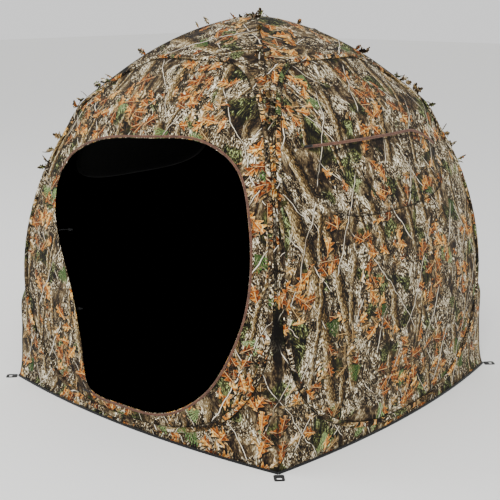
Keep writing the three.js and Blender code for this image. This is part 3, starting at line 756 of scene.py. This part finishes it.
def across_corner(x, z, cells):
    """Rows over a corner line: from a point on one wall to the line and on to the next wall. The
    columns bunch towards the line, where they are CREASE_CELL apart, and two more lie close to
    the outer seam. The normals turn smoothly over the line. Also gives each point's distance
    from the line."""
    w = half_width(z)[:, None]
    reach = w - x[:, None]
    shade = np.minimum(SEAM_SHADE, reach / 8)
    inner = reach - 3 * shade
    bunching = np.maximum(1.0, np.log(inner / CREASE_CELL) / math.log(cells))
    here_fold = inner * np.linspace(1, 0, cells + 1)[None, :] ** bunching
    here_fold = np.concatenate([reach, reach - shade, here_fold], axis=1)
    fold = np.concatenate([here_fold, here_fold[:, -2::-1]], axis=1)
    near = w - here_fold
    height = np.broadcast_to(z[:, None], near.shape)
    here = on_skin(near, height)
    normal = skin_normal(near, height)
    mirror = np.stack([-here[..., 1], -here[..., 0], here[..., 2]], axis=-1)
    mirror_normal = np.stack([-normal[..., 1], -normal[..., 0], normal[..., 2]], axis=-1)
    points = np.concatenate([here, mirror[:, -2::-1]], axis=1)
    normals = np.concatenate([normal, mirror_normal[:, -2::-1]], axis=1)
    blend = np.exp(-((fold / 0.03) ** 2))[..., None]
    normals = normals * (1 - blend) + blend * CORNER_OUT
    normals /= np.linalg.norm(normals, axis=-1, keepdims=True)
    along = np.concatenate([near, 2 * w - near[:, -2::-1]], axis=1)
    return points, normals, along, np.concatenate([height, height[:, -2::-1]], axis=1), fold


def cleft(height, fold):
    """Where the cloth sinks between two hoops as they part: the share of the full depth at each
    height, and how strongly painted shade darkens the cleft, in a wedge that closes above and below."""
    near = np.clip(1 - np.abs(height - CLEFT_HEIGHT) / CLEFT_REACH, 0, 1)
    dark = np.clip(2.5 * (near - fold / CLEFT_HALF), 0, 1)
    return near * near * (3 - 2 * near), dark


def corner_gusset(side, turn):
    """Triangle between two hoops and the ground, creased down the corner. It is drawn in where
    the hoops part, which leaves a cleft between them, darkened with painted shade."""
    share = np.concatenate([np.linspace(0, 0.004, 4), np.linspace(0.006, GUSSET_END, 60)])
    x, z = HOOP.edge(share, np.full(share.shape, SEAM_GAP))
    x, z = np.insert(x, 0, x[0]), np.insert(z, 0, GUSSET_FOOT)
    points, normals, along, height, fold = across_corner(x, z, 16)
    columns = fold / fold[:, :1]
    sunk, dark = cleft(height, fold)
    dip = 0.003 * (1 - columns**8) * waves(along, height, 31 + turn, 0.2) * (1 - sunk)
    points = points - normals * (dip * np.clip(height / 0.06, 0, 1))[..., None]
    points = turned(points - CORNER_OUT * (CLEFT_DEPTH * sunk * (1 - columns))[..., None], turn)
    # Painted shade down the crease, beside the sleeves and in the cleft, carried in the seam attribute
    seam = 1.1 * np.exp(-((fold / 0.006) ** 2))
    seam[:, [0, 1, -2, -1]] = 1.2
    piece = cloth_piece(f"{side}_gusset_cloth", points, cloth_uv(along, height, turn, 0.4),
                        turned(normals, turn), seam=np.maximum(seam, 1.25 * dark))
    # Stated narrower than the cut, whose foot is 1.53 m wide
    return finish_piece(piece, [f"{side}_corner_gusset"], [CAMO, LINING_AND_SHADE])


def corner_strip(side, turn):
    """Narrow strip over the seam where two hoops run side by side. It sinks towards its foot,
    into the top of the cleft."""
    share = np.linspace(GUSSET_END - 0.0012, TAPE_END + 0.0012, 90)
    x, z = HOOP.edge(share, np.full(share.shape, SEAM_GAP))
    points, normals, along, height, fold = across_corner(x, z, 5)
    columns = fold / fold[:, :1]
    sunk, dark = cleft(height, fold)
    depth = 0.0006 + 0.004 * (1 - columns**2) * (1 - sunk)
    points = points - normals * depth[..., None]
    points = turned(points - CORNER_OUT * (CLEFT_DEPTH * sunk * (1 - columns))[..., None], turn)
    # Painted shade beside the sleeves, down the crease and in the top of the cleft, carried in the seam
    # attribute
    seam = np.maximum(columns**4, 0.7 * np.exp(-((fold / 0.003) ** 2)))
    piece = cloth_piece(f"{side}_corner_strip", points, cloth_uv(along, height, turn, 0.4),
                        turned(normals, turn), seam=np.maximum(seam, 1.25 * dark))
    # The strip is 62 mm wide at its foot and 23 mm at its narrowest
    return finish_piece(piece, [f"{side}_corner_leaf_tape"], [CAMO, LINING_AND_SHADE])


def roof_gore(side, turn):
    """One roof face, in columns that run straight up from the hoop to the peak. It sags a
    little between the corner lines."""
    share = np.linspace(TAPE_END + 0.0004, 0.5, 34)
    x, z = HOOP.edge(share, np.full(share.shape, SEAM_GAP))
    s = np.concatenate([[1.0], x / half_width(z)])
    foot = np.concatenate([z[:1], z])
    s = np.concatenate([-s, s[-2::-1]])
    foot = np.concatenate([foot, foot[-2::-1]])
    f = np.concatenate([[0, 0.01], 1 - (1 - np.linspace(0.02, 1, 40)) ** 1.6])[:, None]
    height = foot + (ROOF_TIP - foot) * f
    along = s * half_width(height)
    edge = np.clip((1 - np.abs(s)) / 0.15, 0, 1) * np.clip(f / 0.05, 0, 1) * np.clip((1 - f) / 0.1, 0, 1)
    sag = 0.006 * edge * np.sin(math.pi * f) + 0.003 * edge * waves(along, height, 51 + turn, 0.25)
    points = turned(on_skin(along, height, -sag), turn)
    uv = cloth_uv(along, height, turn, 1.1)[..., ::-1]
    # Painted shade down the ridges between roof faces and along the foot beside the sleeve, carried in the
    # seam attribute
    ridge = (1 - np.abs(s)) * half_width(height)
    seam = np.maximum(np.exp(-((ridge / 0.004) ** 2)), np.exp(-(((height - foot) / 0.003) ** 2)))
    piece = cloth_piece(f"{side}_roof_cloth", points, uv, turned(skin_normal(along, height), turn),
                        seam=seam)
    # Stated shorter than the cut, which is 0.68 m up from the line between its lower corners
    return finish_piece(piece, [f"{side}_roof_gore"], [CAMO, LINING_AND_SHADE])


def ground_hem(side, turn):
    """Black webbing on edge along the ground, rounded at its top and flat at its foot."""
    s = np.linspace(-0.998, 0.998, 120)
    x = s * half_width(0.0)
    centre = skin(x, np.zeros(x.shape))
    normal = skin_normal(x, np.full(x.shape, 0.001))
    normal[:, 2] = 0
    normal /= np.linalg.norm(normal, axis=1, keepdims=True)
    up = np.broadcast_to([0.0, 0.0, 1.0], centre.shape)
    section = [(0.0028, 0.0), (0.003, 0.003), (0.0026, 0.006), (0.0018, 0.0085), (0.0, 0.0095),
               (-0.0018, 0.0085), (-0.0025, 0.006), (-0.003, 0.003), (-0.0028, 0.0)]
    piece = sweep(f"{side}_hem", turned(centre, turn), turned(normal, turn), up, section,
                  closed=False, caps=True)
    rows, sides = len(s) - 1, len(section)
    # Painted shade: the hem's inner side takes the dead black lining, which shows no light
    inner_side_shaded = np.zeros(len(piece.data.polygons), np.int32)
    inner_side_shaded[: rows * sides] = np.tile(np.arange(sides) >= sides // 2 + 1, rows)
    piece.data.polygons.foreach_set("material_index", inner_side_shaded)
    return finish_piece(piece, [f"{side}_ground_hem"], [BLACK, LINING_AND_SHADE])


def crown_patch():
    """Round patch sewn over the peak, where the four roof faces meet."""
    turn = np.arange(48) / 48 * 2 * math.pi
    r = np.linspace(0.002, CROWN_RADIUS, 9)[:, None]
    x, y = r * np.cos(turn), r * np.sin(turn)
    heights = np.linspace(1.45, 1.5999, 400)
    square = np.maximum(np.abs(x), np.abs(y)) * 0.75 + np.hypot(x, y) * 0.25
    z = np.interp(-square, -(half_width(heights) + bow(heights)), heights)
    z = np.minimum(z + 0.0035, 1.6035) - 0.3 * r**2 / CROWN_RADIUS
    points = np.stack([x, y, z], axis=-1)
    up = np.broadcast_to([0.0, 0.0, 1.0], points.shape)
    uv = np.stack([x + 7.3, y + 3.1], axis=-1)
    # Painted shade in a ring just inside the patch's sewn rim, carried in the seam attribute
    seam = np.broadcast_to(np.exp(-(((r - CROWN_RADIUS + 0.006) / 0.003) ** 2)), x.shape)
    piece = cloth_piece("crown_cloth", points, uv, up, wrap=True, seam=seam)
    return finish_piece(piece, ["crown_patch"], [CAMO, LINING_AND_SHADE])


# ---- Door -----------------------------------------------------------------------------------


def on_wall(x, z, turn=0):
    """Point, direction along the wall, direction up its slope and outward normal."""
    x, z = np.asarray(x, float), np.asarray(z, float)
    normal = skin_normal(x, z)
    along = skin(x + 0.001, z) - skin(x - 0.001, z)
    along /= np.linalg.norm(along, axis=-1, keepdims=True)
    up = np.cross(normal, along)
    return tuple(turned(v, turn) for v in (skin(x, z), along, up, normal))


def zip_teeth(name, centre, across, out, pitch, half, low, high):
    """Coil of a closed zip: a slim cord whose ridges rise and fall once each pitch."""
    run = np.concatenate([[0], np.cumsum(np.linalg.norm(np.diff(centre, axis=0), axis=1))])
    rings = np.arange(0, run[-1], pitch / 4)
    middle, side, lift = (np.stack([np.interp(rings, run, v[:, k]) for k in range(3)], axis=1)
                          for v in (centre, across, out))
    ridge = 1 + 0.30 * np.cos(2 * math.pi * rings / pitch)[:, None]
    corners = ((-half, low), (half, low), (half, high), (-half, high))
    points = np.stack([middle + side * a * ridge + lift * b * (ridge if b == high else 1)
                       for a, b in corners], axis=1)
    return closed_tube(name, points)


def tape_and_teeth(name, node, centre, across, out, half):
    """A woven tape on the cloth with a zip's coil down its middle."""
    tape = sweep(name, centre, across, out, rounded_section(half, 0.0012, 0.0034, 12, 5.0),
                 closed=False, caps=True)
    finish_piece(tape, [node], [BROWN])
    teeth = zip_teeth(name + "_coil", centre, across, out, TOOTH_PITCH, 0.0012, 0.0030, 0.0042)
    teeth.data.materials.append(BROWN)
    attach(teeth, "root")


def door_zip():
    share = np.linspace(*BINDING_SHARES, 260)
    x, z = DOOR.edge(share, np.full(share.shape, BINDING_MIDDLE))
    _, _, side = DOOR.frame(share)
    tape_and_teeth("door_zip", "door_zip_tape", skin(x, z), side, skin_normal(x, z),
                   DOOR_TAPE_HALF)


def zip_slider(name, x, z, turn, body):
    """Cast slider: a waisted shell with a bridge over its top."""
    place, along, up, out = on_wall(x, z, turn)
    angle = 2 * math.pi * np.arange(32) / 32
    c, s = np.cos(angle), np.sin(angle)
    length = 0.0088 * np.sign(c) * np.abs(c) ** 0.6
    breadth = 0.0058 * np.sign(s) * np.abs(s) ** 0.6 * (0.80 + 0.20 * np.abs(c))
    plan = length[:, None] * along + breadth[:, None] * up
    rings = [(1.0, 0.0054), (1.0, 0.0066), (0.92, 0.0072), (0.55, 0.0074), (0.40, 0.0090),
             (0.30, 0.0091)]
    points = np.stack([place + plan * grow + out * rise for grow, rise in rings])
    piece = closed_tube(name, points, place + out * 0.006)
    return finish_piece(piece, [name.replace("_body", "")], [ZINC], body)


def zip_pull(name, x, z, turn, body):
    """Webbing pull: a tapered tab with a round end that lies along the tape."""
    place, along, up, out = on_wall(x, z, turn)
    t = np.linspace(0, 1, 20)[:, None]
    straight = 0.0025 + 0.0024 * t
    rounded = 0.0046 * np.sqrt(np.clip(1 - ((t - 0.85) / 0.15) ** 2, 0.02, 1))
    half = np.where(t < 0.85, straight, rounded)
    angle = 2 * math.pi * np.arange(12) / 12
    across = half * np.cos(angle)
    rise = 0.011 + 0.0009 * np.sin(angle) + 0.0005 * np.sin(9 * t)
    points = (place - along * (t[..., None] * 0.041 - 0.001) + up * across[..., None]
              + out * rise[..., None])
    piece = closed_tube(name, points)
    return finish_piece(piece, [name.replace("_tab", "")], [BLACK], body)


def roll_path(t):
    """Points and directions of the rolled door: a curve between three places held inside."""
    foot, head = np.array(ROLL_FOOT), np.array(ROLL_HEAD)
    middle = (foot + head) / 2
    p0, p1, p2 = (on_skin(*p, -ROLL_DEPTH) for p in (foot, middle, head))
    t = np.asarray(t, float)[:, None]
    centre = (1 - t) ** 2 * p0 + 2 * t * (1 - t) * p1 + t * t * p2
    ahead = 2 * (1 - t) * (p1 - p0) + 2 * t * (p2 - p1)
    ahead /= np.linalg.norm(ahead, axis=1, keepdims=True)
    side = np.cross(ahead, [0.0, 1.0, 0.0])
    side /= np.linalg.norm(side, axis=1, keepdims=True)
    return centre, ahead, side, np.cross(side, ahead)


def door_roll():
    """The door's cloth rolled up black side out: a spiral of nine turns, tied in twice, with
    slack folds that run slantwise round it."""
    t = np.linspace(0, 1, 70)
    centre, ahead, side, out = roll_path(t)
    t = t[:, None]
    turns = np.linspace(0, ROLL_TURNS, ROLL_TURNS * 20 + 1)[None, :]
    tied = sum(np.exp(-(((t - share) / 0.03) ** 2)) for _, share in TIES)
    wound = turns / ROLL_TURNS
    radius = (0.0040 + (ROLL_RADIUS - 0.0050) * wound) * (1 - 0.16 * np.minimum(tied, 1))
    slack = 0.0011 * wound**4 * np.sin(2 * math.pi * (turns * 2 + 3.5 * t)) * (1 - tied)
    radius = radius + np.minimum(slack, 0.0007)
    angle = 2 * math.pi * turns
    near_end = np.abs(2 * t - 1) ** 8
    shift = 0.006 * np.sin(turns * 1.7) * np.where(t < 0.5, -1, 1) * near_end
    shift = shift - 0.004 * np.sign(t - 0.5) * near_end
    points = (centre[:, None] + side[:, None] * (radius * np.cos(angle))[..., None]
              + out[:, None] * (radius * np.sin(angle))[..., None]
              + ahead[:, None] * shift[..., None])
    outward = points - centre[:, None]
    uv = np.stack(np.broadcast_arrays(0.74 * t, 0.1 * turns), axis=-1)
    piece = cloth_piece("door_roll_cloth", points, uv, outward, lined=False)
    # The roll's own cloth is about two thirds of the door opening's area
    return finish_piece(piece, ["door_flap_roll"], [LINING_AND_SHADE])


def door_ties():
    for name, share in TIES:
        centre, ahead, side, out = (v[0] for v in roll_path([share]))
        angle = 2 * math.pi * np.arange(40) / 40
        spokes = np.cos(angle)[:, None] * side + np.sin(angle)[:, None] * out
        ring = centre + TIE_RADIUS * spokes
        cord = sweep(f"{name}_tie_cord", ring, spokes, np.broadcast_to(ahead, ring.shape),
                     rounded_section(0.0016, -0.0016, 0.0016, 8, 2.0))
        finish_piece(cord, [f"{name}_tie_loop"], [BLACK])
        low, high = (np.array(v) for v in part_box(f"{name}_tie_toggle"))
        middle, half = (low + high) / 2, (high[0] - low[0]) / 2
        t = np.linspace(-1, 1, 15)[:, None]
        bulge = 0.0039 * (0.62 + 0.38 * np.abs(t) ** 0.7) * np.sqrt(np.clip(1 - np.abs(t) ** 12, 0.05, 1))
        angle = 2 * math.pi * np.arange(14) / 14
        barrel = np.broadcast_arrays(t * half * 0.985, bulge * np.cos(angle), bulge * np.sin(angle))
        toggle = closed_tube(f"{name}_toggle", middle + np.stack(barrel, axis=-1))
        finish_piece(toggle, [f"{name}_tie_toggle"], [BLACK], f"{name}_tie_toggle")


# ---- Windows --------------------------------------------------------------------------------


def window_disc(margin, cells=30):
    """Square grid drawn out to a window's outline, moved in or out by a margin: each square
    ring of the grid is the outline shrunk towards the window's middle."""
    u, v = np.meshgrid(np.linspace(-1, 1, cells + 1), np.linspace(-1, 1, cells + 1))
    f = np.maximum(np.abs(u), np.abs(v))
    middle_x, middle_z = WINDOW_MIDDLE
    share = WINDOW.share_towards(middle_x + u * WINDOW_HALF[0], middle_z + v * WINDOW_HALF[1])
    x, z = WINDOW.edge(share, np.full(share.shape, margin))
    return middle_x + f * (x - middle_x), middle_z + f * (z - middle_z), f


def window_flap(side, turn):
    """Closed flap of printed cloth, with a turned edge and a slight puff."""
    x, z, f = window_disc(-FLAP_GAP)
    puff = 0.0035 * (1 - f**2) * waves(x, z, 71 + turn, 0.22) - 0.0012 * np.exp(-(((f - 0.93) / 0.02) ** 2))
    points = turned(on_skin(x, z, puff), turn)
    # Painted shade round the flap's rim and along the groove of its turned edge, carried in the seam
    # attribute
    seam = np.maximum(np.exp(-(((1 - f) / 0.018) ** 2)), 0.35 * np.exp(-(((f - 0.93) / 0.012) ** 2)))
    piece = cloth_piece(f"{side}_flap_cloth", points, cloth_uv(x, z, turn),
                        turned(skin_normal(x, z), turn), seam=seam)
    return finish_piece(piece, [f"{side}_window_flap"], [CAMO, LINING_AND_SHADE],
                        f"{side}_window_flap")


def window_net(side, turn):
    """Shoot-through net stretched behind the flap."""
    x, z, f = window_disc(NET_MARGIN)
    points = on_skin(x, z, -NET_DEPTH + 0.0055 * np.clip((f - 0.9) / 0.1, 0, 1) ** 0.7)
    points = turned(points, turn)
    uv = np.stack([x, z], axis=-1)
    piece = cloth_piece(f"{side}_net_cloth", points, uv, turned(skin_normal(x, z), turn),
                        lined=False, thick=NETTING)
    return finish_piece(piece, [f"{side}_window_net"], [NET])


def window_zip(side, turn):
    """Brown zip along the flap's top that curves down at its far end, its slider and pull."""
    x = np.linspace(-ZIP_HALF, ZIP_HALF, 150)
    past = np.maximum(0, x - ZIP_BEND) / (ZIP_HALF - ZIP_BEND)
    z = ZIP_HEIGHT - ZIP_FALL * past**2
    centre, normal = skin(x, z), skin_normal(x, z)
    ahead = np.gradient(centre, axis=0)
    across = np.cross(ahead, normal)
    across /= np.linalg.norm(across, axis=1, keepdims=True)
    tape_and_teeth(f"{side}_window_zip", f"{side}_window_zip_tape", turned(centre, turn),
                   turned(across, turn), turned(normal, turn), WINDOW_TAPE_HALF)
    zip_slider(f"{side}_window_zip_slider_body", ZIP_PARK, ZIP_HEIGHT, turn, f"{side}_window_zip_slider")
    zip_pull(f"{side}_window_zip_pull_tab", ZIP_PARK, ZIP_HEIGHT, turn, f"{side}_window_zip_pull")


# ---- Leaves and stakes ----------------------------------------------------------------------


def leaf_shape(length):
    """Flat oak leaf on a stalk, as rows of (left, middle, right) points along its length. Its
    half width is 0.04 of its length plus a sine arch of 0.26, the arch times 1 + 0.38 x a sine of
    3.6 turns, which gives its lobes."""
    t = np.linspace(0, 1, 17)
    half = length * (0.04 + 0.26 * np.sin(math.pi * t**0.85) * (1 + 0.38 * np.sin(2 * math.pi * 3.6 * t)))
    half[0] = half[-1] = 0.0008
    return t * length, half


def leaf_tufts(name, roots, turn, seed):
    """Cut-out leaves sewn on in bunches. Each springs from a root point, leans its own way off
    the cloth, is folded along its rib and curls at its tip."""
    rng = np.random.default_rng(seed)
    all_points, all_faces, all_uv = [], [], []
    count = 0
    for point, normal, ahead, lift in roots:
        spin = rng.uniform(-math.pi, math.pi)
        side = np.cross(normal, ahead)
        forward = math.cos(spin) * ahead + math.sin(spin) * side
        rise = rng.uniform(0.25, 1.0) * lift
        forward = forward * math.cos(rise) + normal * math.sin(rise)
        across = np.cross(forward, normal)
        across /= np.linalg.norm(across)
        face = np.cross(across, forward)
        run, half = leaf_shape(rng.uniform(0.028, 0.044))
        curl = rng.uniform(-0.5, 0.9)
        bend = curl * run**2 / run[-1] * 0.6
        fold = rng.uniform(0.15, 0.5)
        rows = []
        for share in (-1.0, -0.5, 0.0, 0.5, 1.0):
            rows.append(point + run[:, None] * forward + (share * half)[:, None] * across
                        + (bend + abs(share) * half * fold)[:, None] * face + 0.001 * normal)
        grid = np.stack(rows, axis=1)
        all_points.append(grid.reshape(-1, 3))
        all_faces.append(grid_faces(*grid.shape[:2]) + count)
        place = rng.uniform(0, 5, 2)
        all_uv.append(np.stack([np.stack([place[0] + share * half, place[1] + run], axis=-1)
                                for share in (-1.0, -0.5, 0.0, 0.5, 1.0)], axis=1).reshape(-1, 2))
        count += grid.shape[0] * grid.shape[1]
    points = turned(np.concatenate(all_points), turn)
    piece = mesh_object(name, points, np.concatenate(all_faces), np.concatenate(all_uv))
    modifier(piece, "SOLIDIFY", thickness=LEAF_CLOTH, offset=0.0)
    piece.data.materials.append(CAMO)
    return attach(piece, "root")


def corner_leaves(side, turn):
    """Bunches of leaves up a corner's seam and over the shoulder of the roof."""
    rng = np.random.default_rng(100 + turn)
    roots = []
    for z in (0.97, 1.03, 1.09, 1.23, 1.27, 1.31, 1.34, 1.45, 1.56):
        for _ in range(rng.integers(2, 5)):
            height = z + rng.uniform(-0.018, 0.018)
            w = float(half_width(height))
            reach = rng.uniform(-0.024, 0.024)
            here = skin(w - abs(reach), height)
            normal = skin_normal(w - abs(reach), height)
            if reach > 0:
                here, normal = (np.array([-v[1], -v[0], v[2]]) for v in (here, normal))
            outwards = np.array([0.70, -0.70, 0.14])
            normal = normal * 0.5 + outwards
            normal /= np.linalg.norm(normal)
            up = np.array([0.0, 0.0, 1.0]) - normal * normal[2]
            up /= np.linalg.norm(up)
            roots.append((here + 0.004 * outwards, normal, up, 1.25))
    return leaf_tufts(f"{side}_corner_leaves", roots, turn, 200 + turn)


def crown_leaves():
    """A loose ring of leaves round the peak."""
    rng = np.random.default_rng(5)
    roots = []
    for k in range(26):
        angle = 2 * math.pi * k / 26 + rng.uniform(-0.1, 0.1)
        r = rng.uniform(0.02, 0.15)
        ahead = np.array([math.cos(angle), math.sin(angle), 0.0])
        height = 1.598 - 0.25 * r
        roots.append((ahead * r + [0, 0, height], np.array([0.0, 0.0, 1.0]), ahead, 0.6))
    return leaf_tufts("crown_leaves", roots, 0, 9)


def stake_loop(side, turn):
    """Webbing loop that runs out from a corner on the ground, folded flat with a slot for the
    stake, its edges rounded."""
    start = float(corner_radius(0)) + 0.006
    outer = superellipse(np.arange(72) / 72, (7.0, 7.0))
    inner = superellipse(np.arange(72) / 72, (4.0, 4.0))
    rings = []
    for grow, rise in ((0.985, 0.0002), (1.0, 0.0010), (0.985, 0.0022), (0.93, 0.0029)):
        rings.append((start + 0.025 + outer[1] * 0.0249 * grow, outer[0] * 0.0199 * grow, rise))
    for grow, rise in ((1.25, 0.0029), (1.08, 0.0024), (1.0, 0.0015), (1.08, 0.0004), (1.2, 0.0002)):
        rings.append((start + 0.031 + inner[1] * 0.007 * grow, inner[0] * 0.0093 * grow, rise))
    c = math.sqrt(0.5)
    points = np.stack([np.stack([c * (r + a), -c * (r - a), np.full(r.shape, rise)], axis=-1)
                       for r, a, rise in rings])
    faces = grid_faces(*points.shape[:2], wrap_columns=True, wrap_rows=True)
    points = turned(points, turn)
    piece = mesh_object(f"{side}_stake_webbing", points, faces)
    close_ends(piece)
    return finish_piece(piece, [f"{side}_stake_loop"], [BLACK])


def steel_band(side):
    """The band inside a sleeve keeps its own shape and gets its finish here."""
    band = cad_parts[f"{side}_spring_hoop"].data
    band.materials.clear()
    band.materials.append(STEEL)


for index, name in enumerate(SIDES):
    wall_panel(name, index)
    hoop_sleeve(name, index)
    corner_gusset(name, index)
    corner_strip(name, index)
    roof_gore(name, index)
    ground_hem(name, index)
    corner_leaves(name, index)
    stake_loop(name, index)
    if name in WINDOW_SIDES:
        window_flap(name, index)
        window_net(name, index)
        window_zip(name, index)
    steel_band(name)
crown_patch()
crown_leaves()
door_zip()
door_slider_z = float(DOOR.at(DOOR_ZIP_SHARE)[1]) - BINDING_MIDDLE
zip_slider("door_zip_slider_body", DOOR_SLIDER_X, door_slider_z, 0, "door_zip_slider")
zip_pull("door_zip_pull_tab", DOOR_SLIDER_X, door_slider_z, 0, "door_zip_pull")
door_ties()
door_roll()

# ---- Studio ---------------------------------------------------------------------------------


def studio():
    """Pale floor, a black sheet just over the floor inside the blind as painted shade, and soft light from
    above.
    """
    corners = np.array([(-30.0, -30.0, 0.0), (30.0, -30.0, 0.0), (30.0, 30.0, 0.0), (-30.0, 30.0, 0.0)])
    floor = mesh_object("floor", corners, np.array([[0, 1, 2, 3]]))
    pale, _, shader = new_material("pale_floor", 0.9)
    shader.inputs["Base Color"].default_value = linear("#f2f2f0")
    floor.data.materials.append(pale)
    # Painted shade: a black sheet just over the floor inside the blind stands in for the shade there
    along = np.linspace(-0.985, 0.985, 24) * float(half_width(0.0))
    side = skin(along, np.zeros(along.shape)) * (0.9985, 0.9985, 1.0) + (0.0, 0.0, 0.0012)
    ring = np.concatenate([turned(side, k) for k in range(4)])
    mesh = bpy.data.meshes.new("shade_under_blind")
    mesh.from_pydata(ring.tolist(), [], [list(range(len(ring)))])
    shade = bpy.data.objects.new("shade_under_blind", mesh)
    bpy.context.collection.objects.link(shade)
    shade.data.materials.append(LINING_AND_SHADE)
    world = bpy.data.worlds.new("studio")
    bpy.context.scene.world = world
    world.use_nodes = True
    world.node_tree.nodes["Background"].inputs[0].default_value = (1, 1, 1, 1)
    world.node_tree.nodes["Background"].inputs[1].default_value = 1.06
    for name, spot, aim, size, power in (
        ("key_light", (4.0, -5.0, 5.5), (0, 0, 0.8), 3.0, 540.0),
        ("fill_light", (-6.0, -4.0, 3.5), (0, 0, 0.8), 4.0, 200.0),
    ):
        data = bpy.data.lights.new(name, "AREA")
        data.size = size
        data.energy = power
        light = bpy.data.objects.new(name, data)
        light.location = spot
        light.rotation_euler = (Vector(aim) - Vector(spot)).to_track_quat("-Z", "Y").to_euler()
        bpy.context.collection.objects.link(light)


studio()
